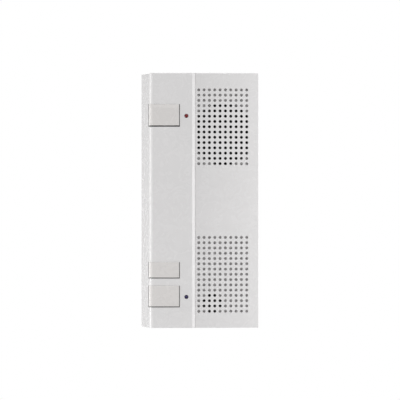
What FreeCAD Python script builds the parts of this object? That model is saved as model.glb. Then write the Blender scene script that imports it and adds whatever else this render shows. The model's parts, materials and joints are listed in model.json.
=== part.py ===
import FreeCAD, Part
import math
import os

# Wall-mounted alarm siren, millimetres. The wall is the plane y = 0, the front faces -Y,
# +X is to the right as seen from the front and +Z is up. The origin is the middle of the wall face.

Vec = FreeCAD.Vector

# Housing
WIDTH = 88.5
HEIGHT = 192.0
DEPTH = 28.0
WALL = 1.6
WALL_GAP = 0.5            # rear edge of the cover to the wall
SIDE_LEAN = 13.8          # degrees, lean of the left side
EDGE_RADIUS = 3.1         # rounded left front edge
BAND_WIDTH = 38.6         # left edge to the end of the raised band
BEVEL_RUN = 2.1
STEP_DOWN = 1.6           # raised band to the start of the curved panel
PANEL_FALL = 5.0          # how far the curved panel falls to its right edge
CREASE_WIDTH = 0.6
CREASE_DEPTH = 0.45
RIGHT_RADIUS = 0.4
RIM_RADIUS = 0.5          # top and bottom front edges
BAND_EDGE_RADIUS = 0.3

# Grille
GRILLE_COLUMNS = 10
GRILLE_ROWS = 15
PITCH_X = 4.02
PITCH_Z = 3.97
HOLE_D = 2.2
HOLE_FLOOR = 0.5          # left behind the blind holes
GRILLE_PAD = 1.4          # extra thickness round the blind holes
PAD_LAP = 1.0             # pad past the outermost holes
GRILLE_OFF = 0.2          # middle of the grille left of the speaker's axis
GRILLE_MARGIN = 12.75     # top of the housing to the first row
LOWER_MARGIN = 12.55      # last row to the bottom of the housing
OPEN_MARGIN = 0.9         # speaker edge to the outermost open hole

# Speaker
SPEAKER_D = 49.6
SPEAKER_DROP = 5.6        # below the middle of the upper grille
SPEAKER_FRONT = 9.0       # speaker rim behind the band face
RIM_PLATE = 0.8
BASKET_DEPTH = 8.5
MAGNET_D = 24.0
MAGNET_T = 3.0
TOP_PLATE_T = 1.5
YOKE_T = 1.5
POLE_D = 11.4
COIL_D = 12.0
FORMER_T = 0.2
WINDING_T = 0.5
GAP_D = 14.0
RIM_AND_SURROUND = 5.5    # speaker's edge to the edge of its cone
CONE_T = 0.35
NECK_BACK = 5.4           # front of the coil's former behind the speaker's rim
CONE_EDGE_BACK = 0.9      # edge of the cone behind the speaker's rim
GASKET_T = 0.8
RING_WALL = 1.9
CLAMP_T = 1.0

# Keys
KEY_PROUD = 0.5
KEY_GAP_LEFT = 0.35       # key to the sides of its window
KEY_GAP_RIGHT = 0.52
KEY_GAP_TOP = 0.08
KEY_GAP_LOW = 0.62
UPPER_GAP_LOW = 0.95      # below the upper key, which tips
WINDOW_DEPTH = 6.0
KEY_WALL = 1.5
KEY_TRAVEL = 0.8
KEY_LEFT = 5.9            # left edge of the housing to the key
KEY_WIDTH = 22.85
FLANGE_LIP = 1.4
FLANGE_T = 1.2
FLANGE_GAP = 0.2
STEM_D = 3.6
UPPER_KEY_H = 16.0
MIDDLE_KEY_H = 11.5
LOWER_KEY_H = 15.6
UPPER_KEY_TOP = 23.6      # below the top of the housing
LOWER_KEY_BOTTOM = 16.17  # above the bottom of the housing
MIDDLE_KEY_BOTTOM = 37.9
KEY_SLOPE = 2.6           # sloped top of the upper key
KEY_EDGE = 0.3            # rounding of the keys' front edges
KEY_RIB = 1.4
RIB_GAP = 0.6             # end of the carrier's rib to the cap

# Lamps
LAMP_D = 3.0
LAMP_FLANGE_D = 3.8
LAMP_PROUD = 0.4
LAMP_LENGTH = 5.3
LAMP_FROM_EDGE = 4.37     # from the right edge of the band
RED_BELOW_TOP = 32.4
BLUE_ABOVE_BOTTOM = 23.4
LAMP_CLEAR = 0.06
LEG_D = 0.5

# Circuit board and what it carries
BOARD_T = 1.6
BOARD_FRONT = 14.0        # board's front face behind the band face
BOARD_MARGIN = 6.0        # to the ends of the housing
BOARD_SIDE = 4.0          # to the right side of the housing
BOARD_LEFT = 8.0          # to the left edge of the housing
BOARD_STEP = 76.0         # top of the wide part below the top of the housing
SPEAKER_CLEAR = 1.7
BOSS_R = 3.0
SCREW_R = 1.25
SCREW_HEAD_R = 2.3
SCREW_HEAD_T = 1.5
SCREW_CLEAR = 0.06
SWITCH_SIZE = 6.0
SWITCH_H = 3.0
PLUNGER_D = 3.4
PLUNGER_UP = 1.5
PRESS_GAP = 0.1
CAPACITOR_D = 8.0
CAPACITOR_H = 8.5
CAPACITOR_PLACES = (8.0, 19.0)       # from the start of the panel
POWER_ROW = -8.0          # capacitors and inductor
INDUCTOR_SIZE = 12.0
INDUCTOR_H = 6.0
RELAY_Z = -30.0
RELAY_SIZE = (14.0, 9.0)
RELAY_H = 5.5
AMPLIFIER_Z = -36.0
CONTROLLER_Z = -54.0
SOUNDER_D = 13.0
SOUNDER_H = 8.5
SOUNDER_REACH = 1.0       # sounder's edge to the outermost open hole
SOUNDER_COLUMN = 2.5
SOUNDER_ROW = 12.5
BOOT_WALL = 1.9
BOOT_H = 4.5
BOOT_FIT = 0.1
COLLAR_WALL = 1.3         # collar of the cover round the boot
COLLAR_BACK = 6.0         # back of that collar to the board
TRIMMER_SIZE = 7.0
TRIMMER_H = 4.0
TAMPER_SIZE = 6.0
TAMPER_H = 4.0
TAMPER_D = 2.4

# Wall plate, hinge and lock
PLATE_T = 2.5
PLATE_GAP = 0.5           # to the inside of the cover
PLATE_TOP_GAP = 1.4
PLATE_RIB = 2.0
HINGE_R = 1.1
HINGE_X = 24.0
HINGE_WINDOW = 11.0
HINGE_SIDE_GAP = 0.5
HINGE_OPENING = 4.6       # hinge axis to the front of its window
FINGER_T = 1.7
FINGER_GAP = 0.4
FINGER_DROP = 0.6         # finger top below the top of the housing
WALL_HOLE_R = 2.1
WALL_HOLE_X = 60.0
WALL_HOLE_Z = 140.0
SLOT_LENGTH = 8.0
ENTRY_WIDTH = 24.0
ENTRY_HEIGHT = 24.0
ENTRY_X = -8.0
ENTRY_Z = 15.0
LOCK_SCREW_R = 1.45
LOCK_HEAD_R = 2.75
LOCK_HEAD_T = 2.0
GUARD_GAP = 0.45          # rib beside the lock nut to the board
LOCK_TAB_T = 2.0
LOCK_TAB_Z = 6.0          # underside of the tab above the bottom of the housing
LOCK_BOSS_R = 4.0
LOCK_BOSS_GAP = 0.6
LOCK_GUARD = 6.0          # width of the rib that keeps the nut from turning
LOCK_GUARD_T = 1.5
LOCK_TAB_HALF = 6.0
HEAD_INSET = 0.8
WEB_T = 1.4
WEB_H = 6.0
LOCK_NUT = 5.5
LOCK_NUT_T = 1.8
LOCK_TRAVEL = 0.5
TERMINAL_PITCH = 5.08
TERMINAL_WAYS = 4
TERMINAL_GAP = 1.9        # front of the terminals to the board
FIT = 0.05                # radial running clearance
LOOSE = 0.3

# Places worked out from the sizes above
LEFT = -WIDTH / 2
RIGHT = WIDTH / 2
TOP = HEIGHT / 2
BOTTOM = -HEIGHT / 2
REAR = -WALL_GAP
FRONT = -DEPTH
LEAN = math.radians(SIDE_LEAN)
BAND_EDGE = LEFT + BAND_WIDTH
INSIDE_RIGHT = RIGHT - WALL
PANEL_START = BAND_EDGE + BEVEL_RUN
PANEL_Y = FRONT + STEP_DOWN
PANEL_RUN = RIGHT - PANEL_START
PANEL_R = (PANEL_RUN ** 2 + PANEL_FALL ** 2) / (2 * PANEL_FALL)
SPEAKER_R = SPEAKER_D / 2
SPEAKER_X = INSIDE_RIGHT - LOOSE - SPEAKER_R
GRILLE_SPAN = (GRILLE_ROWS - 1) * PITCH_Z
GRILLE_Z = TOP - GRILLE_MARGIN - GRILLE_SPAN / 2
LOWER_GRILLE_Z = BOTTOM + LOWER_MARGIN + GRILLE_SPAN / 2
SPEAKER_Z = GRILLE_Z - SPEAKER_DROP
SPEAKER_Y = FRONT + SPEAKER_FRONT
GRILLE_RUN = (GRILLE_COLUMNS - 1) * PITCH_X
GRILLE_LEFT = SPEAKER_X - GRILLE_OFF - GRILLE_RUN / 2
SOUNDER_X = GRILLE_LEFT + SOUNDER_COLUMN * PITCH_X
SOUNDER_Z = LOWER_GRILLE_Z + GRILLE_SPAN / 2 - SOUNDER_ROW * PITCH_Z
COLLAR_R = SOUNDER_D / 2 + BOOT_WALL + 2 * BOOT_FIT
BOARD_Y = FRONT + BOARD_FRONT
BOARD_BACK = BOARD_Y + BOARD_T
BOOT_FRONT = BOARD_Y - SOUNDER_H - BOOT_FIT
PLATE_Y = -PLATE_T
TERMINAL_H = -BOARD_BACK - PLATE_T - TERMINAL_GAP
KEY_X0 = LEFT + KEY_LEFT
KEY_X1 = KEY_X0 + KEY_WIDTH
STEM_X = (KEY_X0 + KEY_X1) / 2
CORNER_X = LEFT + (REAR - FRONT) * math.tan(LEAN)
EDGE_RUN = EDGE_RADIUS * math.tan((math.pi / 2 - LEAN) / 2)
FLAT_LEFT = CORNER_X + EDGE_RUN      # where the rounded edge meets the band
INNER_FACE = FRONT + WALL
LAMP_X = BAND_EDGE - LAMP_FROM_EDGE
RED_Z = TOP - RED_BELOW_TOP
BLUE_Z = BOTTOM + BLUE_ABOVE_BOTTOM
HINGE_Y = REAR - HINGE_R
HINGE_Z = TOP - HINGE_R
LOCK_AXIS_Y = BOARD_BACK + GUARD_GAP + LOCK_GUARD_T + FLANGE_GAP + LOCK_NUT / 2
TAB_Z = BOTTOM + LOCK_TAB_Z
SWITCH_TOP = BOARD_Y - SWITCH_H
PLUNGER_TOP = SWITCH_TOP - PLUNGER_UP
BASKET_BACK = SPEAKER_Y + BASKET_DEPTH
TOP_PLATE_BACK = BASKET_BACK + TOP_PLATE_T
MAGNET_BACK = TOP_PLATE_BACK + MAGNET_T
YOKE_BACK = MAGNET_BACK + YOKE_T
COIL_R = COIL_D / 2
CONE_D = SPEAKER_D - 2 * RIM_AND_SURROUND
PARTS_X = RIGHT - 16                 # inductor and relay
AMPLIFIER_X = PANEL_START + 10
CONTROLLER_X = PANEL_START + 12
TRIMMER_X = RIGHT - 14
TRIMMER_Z = -12.0
TAMPER_X = LEFT + 24
TAMPER_Z = -34.0
TERMINAL_X = ENTRY_X
TERMINAL_TOP = ENTRY_Z - ENTRY_HEIGHT / 2 - 4
TERMINAL_Z0 = TERMINAL_TOP - 14
TERMINAL_SPRING_Z = TERMINAL_Z0 + 3
TERMINAL_SCREW_Z = TERMINAL_TOP - 5
TAG_Y = SPEAKER_Y + 1.0 + RIM_PLATE
TAG_LOW = SPEAKER_Z - SPEAKER_R - 2.6
PLUG_TOP = TOP - BOARD_STEP - 8
HEADER_H = 6.0
WELL = 0.375 * TERMINAL_H            # depth of the screw wells
SPRING_SLOT = 0.3125 * TERMINAL_H    # depth of the slots for the springs
FAR = 20.0                # past any face, for cuts


def box(x0, x1, y0, y1, z0, z1):
    return Part.makeBox(x1 - x0, y1 - y0, z1 - z0, Vec(x0, y0, z0))


def block(x, z, size_x, size_z, y0, y1):
    return box(x - size_x / 2, x + size_x / 2, y0, y1, z - size_z / 2, z + size_z / 2)


def block_z(size, z0, z1):
    """A square block round the lock's axis."""
    return box(-size / 2, size / 2, LOCK_AXIS_Y - size / 2, LOCK_AXIS_Y + size / 2, z0, z1)


def rod_y(x, z, radius, y0, y1):
    return Part.makeCylinder(radius, y1 - y0, Vec(x, y0, z), Vec(0, 1, 0))


def rod_z(x, y, radius, z0, z1):
    return Part.makeCylinder(radius, z1 - z0, Vec(x, y, z0), Vec(0, 0, 1))


def rod_x(y, z, radius, x0, x1):
    return Part.makeCylinder(radius, x1 - x0, Vec(x0, y, z), Vec(1, 0, 0))


def tube_y(x, z, outer, inner, y0, y1):
    return rod_y(x, z, outer, y0, y1).cut(rod_y(x, z, inner, y0 - FAR, y1 + FAR))


def join(shapes):
    whole = shapes[0]
    if len(shapes) > 1:
        whole = whole.fuse(shapes[1:])
    return whole.removeSplitter()


def turned(points, x, z):
    """A solid turned about the line through x, z along Y, from (radius, y) points."""
    corners = [Vec(x + radius, y, z) for radius, y in points]
    face = Part.Face(Part.makePolygon(corners + [corners[0]]))
    return face.revolve(Vec(x, 0, z), Vec(0, 1, 0), 360)


def side_plate(points, x0, x1):
    """A solid with an outline of (y, z) points, from x0 to x1."""
    corners = [Vec(x0, y, z) for y, z in points]
    face = Part.Face(Part.makePolygon(corners + [corners[0]]))
    return face.extrude(Vec(x1 - x0, 0, 0))


def group(solids):
    return Part.makeCompound(solids)


def hexagon(x, y, across, z0, z1):
    radius = across / math.sqrt(3)
    corners = []
    for step in range(7):
        angle = math.radians(60 * step)
        corners.append(Vec(x + radius * math.cos(angle), y + radius * math.sin(angle), z0))
    return Part.Face(Part.makePolygon(corners)).extrude(Vec(0, 0, z1 - z0))


def at_angle(x, z, radius, degrees):
    angle = math.radians(degrees)
    return x + radius * math.cos(angle), z + radius * math.sin(angle)


# Housing

def side_x(y):
    """Outer left side at depth y."""
    return LEFT + (REAR - y) * math.tan(LEAN)


def panel_y(x):
    """Outer face of the curved panel at x."""
    return PANEL_Y + PANEL_R - math.sqrt(PANEL_R ** 2 - (x - PANEL_START) ** 2)


def housing_outline():
    centre = Vec(FLAT_LEFT, FRONT + EDGE_RADIUS, 0)
    middle_angle = math.radians(225 + SIDE_LEAN / 2)
    side_end = Vec(CORNER_X - EDGE_RUN * math.sin(LEAN), FRONT + EDGE_RUN * math.cos(LEAN), 0)
    edge_middle = centre + Vec(math.cos(middle_angle), math.sin(middle_angle), 0) * EDGE_RADIUS
    band_start = Vec(FLAT_LEFT, FRONT, 0)
    band_end = Vec(BAND_EDGE, FRONT, 0)
    panel_start = Vec(PANEL_START, PANEL_Y, 0)
    panel_middle = Vec(PANEL_START + PANEL_RUN / 2, panel_y(PANEL_START + PANEL_RUN / 2), 0)
    panel_end = Vec(RIGHT, panel_y(RIGHT), 0)
    rear_left = Vec(side_x(FAR), FAR, 0)
    rear_right = Vec(RIGHT, FAR, 0)
    edges = [
        Part.makeLine(rear_left, side_end),
        Part.Arc(side_end, edge_middle, band_start).toShape(),
        Part.makeLine(band_start, band_end),
        Part.makeLine(band_end, panel_start),
        Part.Arc(panel_start, panel_middle, panel_end).toShape(),
        Part.makeLine(panel_end, rear_right),
        Part.makeLine(rear_right, rear_left),
    ]
    return Part.Face(Part.Wire(edges))


def housing_block(offset, z0, z1, rear=REAR):
    """The housing's outline moved out by offset, as a solid from z0 to z1 in front of rear."""
    face = housing_outline()
    if offset:
        face = face.makeOffset2D(offset, 2)
    face.translate(Vec(0, 0, z0))
    solid = face.extrude(Vec(0, 0, z1 - z0))
    return solid.common(box(LEFT - FAR, RIGHT + FAR, FRONT - FAR, rear, z0, z1))


def rounded_housing():
    solid = housing_block(0, BOTTOM, TOP)
    tall = []
    for edge in solid.Edges:
        first = edge.Vertexes[0].Point
        last = edge.Vertexes[-1].Point
        upright = abs(first.z - last.z) > HEIGHT / 2
        behind = max(first.y, last.y) > REAR - WALL
        if upright and abs(first.x - RIGHT) < LOOSE and not behind:
            tall.append(edge)
    solid = solid.makeFillet(RIGHT_RADIUS, tall)
    ends = []
    for edge in solid.Edges:
        low = edge.BoundBox
        flat = low.ZLength < LOOSE and abs(abs(low.Center.z) - TOP) < LOOSE
        if flat and low.Center.y < REAR - FIT:
            ends.append(edge)
    return solid.makeFillet(RIM_RADIUS, ends)


def grille_holes():
    """All the holes of both grilles: right through over the speaker and sounder, blind elsewhere."""
    holes = []
    for column in range(GRILLE_COLUMNS):
        x = GRILLE_LEFT + column * PITCH_X
        floor = panel_y(x) + WALL + GRILLE_PAD - HOLE_FLOOR
        for row in range(GRILLE_ROWS):
            high = GRILLE_Z + GRILLE_SPAN / 2 - row * PITCH_Z
            low = LOWER_GRILLE_Z + GRILLE_SPAN / 2 - row * PITCH_Z
            over_speaker = math.hypot(x - SPEAKER_X, high - SPEAKER_Z) < SPEAKER_R - OPEN_MARGIN
            over_sounder = math.hypot(x - SOUNDER_X, low - SOUNDER_Z) < SOUNDER_D / 2 + SOUNDER_REACH
            through = panel_y(x) + 2 * WALL
            holes.append(rod_y(x, high, HOLE_D / 2, PANEL_Y - 1, through if over_speaker else floor))
            holes.append(rod_y(x, low, HOLE_D / 2, PANEL_Y - 1, through if over_sounder else floor))
    return holes


KEYS = {
    "upper": (TOP - UPPER_KEY_TOP - UPPER_KEY_H, UPPER_KEY_H),
    "middle": (BOTTOM + MIDDLE_KEY_BOTTOM, MIDDLE_KEY_H),
    "lower": (BOTTOM + LOWER_KEY_BOTTOM, LOWER_KEY_H),
}

CLAMP_ANGLES = (60, 180, 300)
CLAMP_RADIUS = SPEAKER_R + 3.9
BOARD_SCREWS = [
    (LEFT + 13, TOP - 12),
    (LEFT + 13, 8),
    (LEFT + 13, BOTTOM + 9),
    (RIGHT - 8, TOP - 84),
    (RIGHT - 8, BOTTOM + 10),
]


def key_windows():
    windows = []
    for name, (base, height) in KEYS.items():
        gap_low = UPPER_GAP_LOW if name == "upper" else KEY_GAP_LOW
        windows.append(box(KEY_X0 - KEY_GAP_LEFT, KEY_X1 + KEY_GAP_RIGHT, FRONT - 1, FRONT + WINDOW_DEPTH,
                           base - gap_low, base + height + KEY_GAP_TOP))
    return windows


def grille_pads():
    """Thicker wall round the blind holes, open over the speaker and the sounder."""
    skin = housing_block(0, BOTTOM + WALL, TOP - WALL).cut(
        housing_block(-(WALL + GRILLE_PAD), BOTTOM + WALL, TOP - WALL, FAR))
    lap = HOLE_D / 2 + PAD_LAP
    pads = []
    for middle in (GRILLE_Z, LOWER_GRILLE_Z):
        field = block(GRILLE_LEFT + GRILLE_RUN / 2, middle, GRILLE_RUN + 2 * lap, GRILLE_SPAN + 2 * lap,
                      FRONT, SPEAKER_Y - GASKET_T)
        pads.append(skin.common(field))
    openings = [
        rod_y(SPEAKER_X, SPEAKER_Z, SPEAKER_R + LOOSE - RING_WALL - PAD_LAP, FRONT, BOARD_Y),
        rod_y(SOUNDER_X, SOUNDER_Z, SOUNDER_D / 2 + SOUNDER_REACH - PAD_LAP, FRONT, BOARD_Y),
        rod_y(SOUNDER_X, SOUNDER_Z, COLLAR_R, BOOT_FRONT - LOOSE / 2, BOARD_Y),
    ]
    return [pad.cut(openings) for pad in pads]


def hinge_axis_rod(x, width, radius):
    return rod_x(HINGE_Y, HINGE_Z, radius, x - width / 2, x + width / 2)


def front_cover():
    cover = rounded_housing()
    cover = cover.cut(housing_block(-WALL, BOTTOM + WALL, TOP - WALL, FAR / 2))
    posts = []
    for x, z in BOARD_SCREWS:
        posts.append(rod_y(x, z, BOSS_R, FRONT, BOARD_Y))
    for angle in CLAMP_ANGLES:
        x, z = at_angle(SPEAKER_X, SPEAKER_Z, CLAMP_RADIUS, angle)
        posts.append(rod_y(x, z, BOSS_R, FRONT, SPEAKER_Y + RIM_PLATE))
    posts.append(tube_y(SPEAKER_X, SPEAKER_Z, SPEAKER_R + LOOSE, SPEAKER_R + LOOSE - RING_WALL,
                        FRONT, SPEAKER_Y - GASKET_T))
    posts.append(tube_y(SOUNDER_X, SOUNDER_Z, COLLAR_R + COLLAR_WALL, COLLAR_R, FRONT, BOARD_Y - COLLAR_BACK))
    posts.append(rod_z(0, LOCK_AXIS_Y, LOCK_BOSS_R, BOTTOM, TAB_Z - LOCK_BOSS_GAP))
    guard_y = LOCK_AXIS_Y - LOCK_NUT / 2 - FLANGE_GAP
    posts.append(box(-LOCK_GUARD / 2, LOCK_GUARD / 2, guard_y - LOCK_GUARD_T, guard_y,
                     BOTTOM + WALL / 2, TAB_Z + LOCK_TAB_T + LOCK_NUT_T + 2 * LOCK_TRAVEL))
    inside = housing_block(-WALL / 2, BOTTOM + WALL / 2, TOP - WALL / 2)
    cover = join([cover] + [post.common(inside) for post in posts] + grille_pads())
    for x in (-HINGE_X, HINGE_X):
        cover = cover.cut(box(x - HINGE_WINDOW / 2, x + HINGE_WINDOW / 2, HINGE_Y - HINGE_OPENING,
                              REAR + 1, TOP - 2 * WALL, TOP + 1))
    top_edge = box(LEFT, RIGHT, HINGE_Y, REAR + 1, HINGE_Z, TOP + 1)
    cover = cover.cut(top_edge.cut(rod_x(HINGE_Y, HINGE_Z, HINGE_R, LEFT, RIGHT)))
    cover = join([cover] + [hinge_axis_rod(x, HINGE_WINDOW + 2, HINGE_R) for x in (-HINGE_X, HINGE_X)])
    cuts = key_windows()
    cuts.append(box(PANEL_START, PANEL_START + CREASE_WIDTH, FRONT, PANEL_Y + CREASE_DEPTH,
                    BOTTOM - 1, TOP + 1))
    for z in (RED_Z, BLUE_Z):
        cuts.append(rod_y(LAMP_X, z, LAMP_D / 2 + LAMP_CLEAR, FRONT - 1, FRONT + 2 * WALL))
    for x, z in BOARD_SCREWS:
        cuts.append(rod_y(x, z, SCREW_R + SCREW_CLEAR, BOARD_Y - 6, BOARD_Y + 1))
    for angle in CLAMP_ANGLES:
        x, z = at_angle(SPEAKER_X, SPEAKER_Z, CLAMP_RADIUS, angle)
        cuts.append(rod_y(x, z, SCREW_R + SCREW_CLEAR, SPEAKER_Y - 3, SPEAKER_Y + RIM_PLATE + 1))
    cuts.append(rod_z(0, LOCK_AXIS_Y, LOCK_SCREW_R + LOOSE, BOTTOM - 1, TAB_Z))
    cuts.append(rod_z(0, LOCK_AXIS_Y, LOCK_HEAD_R + LOOSE, BOTTOM - 1,
                      BOTTOM + LOCK_HEAD_T + HEAD_INSET))
    return cover.cut(cuts + grille_holes())


def key_front_edges(cap, base, top):
    """The top, bottom and right-hand edges of a key's front face."""
    edges = []
    for edge in cap.Edges:
        limits = edge.BoundBox
        level = limits.ZLength < FIT and (abs(limits.ZMin - base) < FIT or abs(limits.ZMin - top) < FIT)
        if level and limits.YMax < INNER_FACE and limits.XLength > KEY_EDGE:
            edges.append(edge)
        upright = limits.XLength < FIT and abs(limits.XMax - KEY_X1) < FIT
        if upright and limits.ZLength > KEY_SLOPE + FIT and limits.YMax < FRONT:
            edges.append(edge)
    return edges


def key_cap(base, height, sloped):
    """A hollow key cap that follows the housing's face."""
    top = base + height
    back = INNER_FACE + FLANGE_GAP
    outer = housing_block(KEY_PROUD, base, top, back)
    outer = outer.common(box(KEY_X0, KEY_X1, FRONT - FAR, back, base, top))
    pocket = housing_block(KEY_PROUD - KEY_WALL, base + KEY_WALL, top - KEY_WALL, back + 1)
    pocket = pocket.common(box(KEY_X0 + KEY_WALL, KEY_X1 - KEY_WALL, FRONT - FAR, back + 1,
                               base + KEY_WALL, top - KEY_WALL))
    if sloped:
        outline = [(FRONT - KEY_PROUD - 1, top - KEY_SLOPE), (FRONT - KEY_PROUD, top - KEY_SLOPE),
                   (FRONT, top), (FRONT, top + 1), (FRONT - KEY_PROUD - 1, top + 1)]
        outer = outer.cut(side_plate(outline, KEY_X0 - 1, KEY_X1 + 1))
    outer = outer.makeFillet(KEY_EDGE, key_front_edges(outer, base, top))
    return outer.cut(pocket)


def key_carrier(base, height):
    """The plate behind a key cap that keeps it in its window, with its rib and its stem."""
    top = base + height
    front = INNER_FACE + FLANGE_GAP
    plate = box(FLAT_LEFT, KEY_X1 + FLANGE_LIP, front, front + FLANGE_T, base - FLANGE_LIP, top + FLANGE_LIP)
    middle = (base + top) / 2
    inset = KEY_WALL + RIB_GAP
    rib = box(FLAT_LEFT + RIB_GAP, KEY_X1 - inset, FRONT + KEY_WALL, front,
              middle - KEY_RIB / 2, middle + KEY_RIB / 2)
    stem = rod_y(STEM_X, middle, STEM_D / 2, front, PLUNGER_TOP - PRESS_GAP)
    return join([plate, rib, stem])


def lamp(z):
    """A 3 mm lamp: dome, barrel, flange and two legs."""
    tip = FRONT - LAMP_PROUD
    shoulder = tip + LAMP_D / 2
    base = tip + LAMP_LENGTH
    dome = Part.makeSphere(LAMP_D / 2, Vec(LAMP_X, shoulder, z))
    barrel = rod_y(LAMP_X, z, LAMP_D / 2, shoulder, base)
    flange = rod_y(LAMP_X, z, LAMP_FLANGE_D / 2, base - 1, base)
    legs = [rod_y(LAMP_X + side, z, LEG_D / 2, base - 0.5, BOARD_Y) for side in (-0.8, 0.8)]
    return join([dome, barrel, flange] + legs)


def lamp_spacers():
    base = FRONT - LAMP_PROUD + LAMP_LENGTH
    return group([tube_y(LAMP_X, z, 2.3, 1.3, base, BOARD_Y) for z in (RED_Z, BLUE_Z)])


# Circuit board

def circuit_board():
    left = LEFT + BOARD_LEFT
    column = box(left, BAND_EDGE + 2, BOARD_Y, BOARD_BACK, BOTTOM + BOARD_MARGIN, TOP - BOARD_MARGIN)
    wide = box(left, RIGHT - BOARD_SIDE, BOARD_Y, BOARD_BACK, BOTTOM + BOARD_MARGIN, TOP - BOARD_STEP)
    board = join([column, wide])
    upright = [edge for edge in board.Edges if abs(edge.tangentAt(edge.FirstParameter).y) > 0.9]
    board = board.makeFillet(1.5, upright)
    cuts = [rod_y(SPEAKER_X, SPEAKER_Z, SPEAKER_R + SPEAKER_CLEAR, BOARD_Y - 1, BOARD_BACK + 1)]
    for x, z in BOARD_SCREWS:
        cuts.append(rod_y(x, z, SCREW_R + LOOSE, BOARD_Y - 1, BOARD_BACK + 1))
    return board.cut(cuts)


def pan_screw(x, z, seat, length, slot=0.8):
    """A pan-head screw driven towards the front, its head against the plane y = seat."""
    head = rod_y(x, z, SCREW_HEAD_R, seat, seat + SCREW_HEAD_T)
    rim = [edge for edge in head.Edges if edge.BoundBox.YMin > seat + SCREW_HEAD_T / 2]
    head = head.makeFillet(0.6, [edge for edge in rim if len(edge.Vertexes) == 1])
    shank = rod_y(x, z, SCREW_R, seat - length, seat)
    tool = seat + SCREW_HEAD_T
    cross = [
        block(x, z, 2.6, slot, tool - 0.9, tool + 1),
        block(x, z, slot, 2.6, tool - 0.9, tool + 1),
    ]
    return head.fuse(shank).removeSplitter().cut(cross)


def board_screws():
    return group([pan_screw(x, z, BOARD_BACK, 6.5) for x, z in BOARD_SCREWS])


def switch_body(z):
    body = block(STEM_X, z, SWITCH_SIZE, SWITCH_SIZE, SWITCH_TOP, BOARD_Y)
    upright = [edge for edge in body.Edges if abs(edge.tangentAt(edge.FirstParameter).y) > 0.9]
    body = body.makeFillet(0.5, upright)
    return body.cut(rod_y(STEM_X, z, PLUNGER_D / 2 + FIT, SWITCH_TOP - 1, BOARD_Y - 1.3))


def switch_plunger(z):
    stop = BOARD_Y - 1.3 - KEY_TRAVEL - PRESS_GAP
    plunger = rod_y(STEM_X, z, PLUNGER_D / 2, PLUNGER_TOP, stop)
    rim = [edge for edge in plunger.Edges if edge.BoundBox.YMax < PLUNGER_TOP + FIT]
    return plunger.makeChamfer(0.25, rim)


def piezo_sounder():
    front = BOARD_Y - SOUNDER_H
    can = rod_y(SOUNDER_X, SOUNDER_Z, SOUNDER_D / 2, front, BOARD_Y)
    can = can.makeFillet(0.6, [edge for edge in can.Edges if edge.BoundBox.YMax < front + FIT])
    return can.cut(rod_y(SOUNDER_X, SOUNDER_Z, 1.25, front - 1, front + 3))


def sounder_boot():
    radius = SOUNDER_D / 2 + BOOT_FIT
    return tube_y(SOUNDER_X, SOUNDER_Z, radius + BOOT_WALL, radius, BOOT_FRONT, BOOT_FRONT + BOOT_H)


def leaded_chip(x, z, size_x, size_z, height, ways, pitch):
    """A chip on the board's front with a row of legs along each long side."""
    body = block(x, z, size_x, size_z, BOARD_Y - height, BOARD_Y - 0.2)
    rim = [edge for edge in body.Edges if edge.BoundBox.YMax < BOARD_Y - height + FIT]
    body = body.makeChamfer(0.2, rim)
    legs = []
    middle = BOARD_Y - height / 2
    for way in range(ways):
        place = x + (way - (ways - 1) / 2) * pitch
        for side in (-1, 1):
            edge = z + side * size_z / 2
            legs.append(block(place, edge + side * 0.5, 0.4, 1.2, middle, middle + 0.2))
            legs.append(block(place, edge + side * 1.0, 0.4, 0.2, middle, BOARD_Y))
            legs.append(block(place, edge + side * 1.4, 0.4, 1.0, BOARD_Y - 0.2, BOARD_Y))
    return join([body] + legs)


def electrolytic_capacitors():
    front = BOARD_Y - CAPACITOR_H
    cans = []
    for place in CAPACITOR_PLACES:
        x = PANEL_START + place
        can = rod_y(x, POWER_ROW, CAPACITOR_D / 2, front, BOARD_Y)
        can = can.makeFillet(0.5, [edge for edge in can.Edges if edge.BoundBox.YMax < front + 0.5])
        scores = [block(x, POWER_ROW, 5, 0.3, front - 0.5, front + 0.2)]
        scores.append(block(x, POWER_ROW, 0.3, 5, front - 0.5, front + 0.2))
        cans.append(can.cut(scores))
    return group(cans)


def power_inductor():
    front = BOARD_Y - INDUCTOR_H
    base = block(PARTS_X, POWER_ROW, INDUCTOR_SIZE, INDUCTOR_SIZE, front, BOARD_Y)
    upright = [edge for edge in base.Edges if abs(edge.tangentAt(edge.FirstParameter).y) > 0.9]
    base = base.makeChamfer(2.2, upright)
    return base.cut(tube_y(PARTS_X, POWER_ROW, 4.9, 4.4, front - 1, front + 0.5))


def relay():
    front = BOARD_Y - RELAY_H
    body = block(PARTS_X, RELAY_Z, RELAY_SIZE[0], RELAY_SIZE[1], front, BOARD_Y)
    return body.makeChamfer(0.4, [edge for edge in body.Edges if edge.BoundBox.YMax < front + 0.5])


def contact_pads():
    return group([block(x, TERMINAL_SPRING_Z, 2.4, 4.0, BOARD_BACK, BOARD_BACK + 0.1)
                  for x in terminal_places()])


def trimmer_body():
    body = block(TRIMMER_X, TRIMMER_Z, TRIMMER_SIZE, TRIMMER_SIZE, BOARD_BACK, BOARD_BACK + TRIMMER_H)
    return body.cut(rod_y(TRIMMER_X, TRIMMER_Z, 2.5 + FIT, BOARD_BACK + 1, BOARD_BACK + TRIMMER_H + 1))


def trimmer_rotor():
    top = BOARD_BACK + TRIMMER_H
    rotor = rod_y(TRIMMER_X, TRIMMER_Z, 2.5, BOARD_BACK + 1.2, top + 0.2)
    return rotor.cut(block(TRIMMER_X, TRIMMER_Z, 3.6, 0.8, top - 0.8, top + 1))


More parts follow.
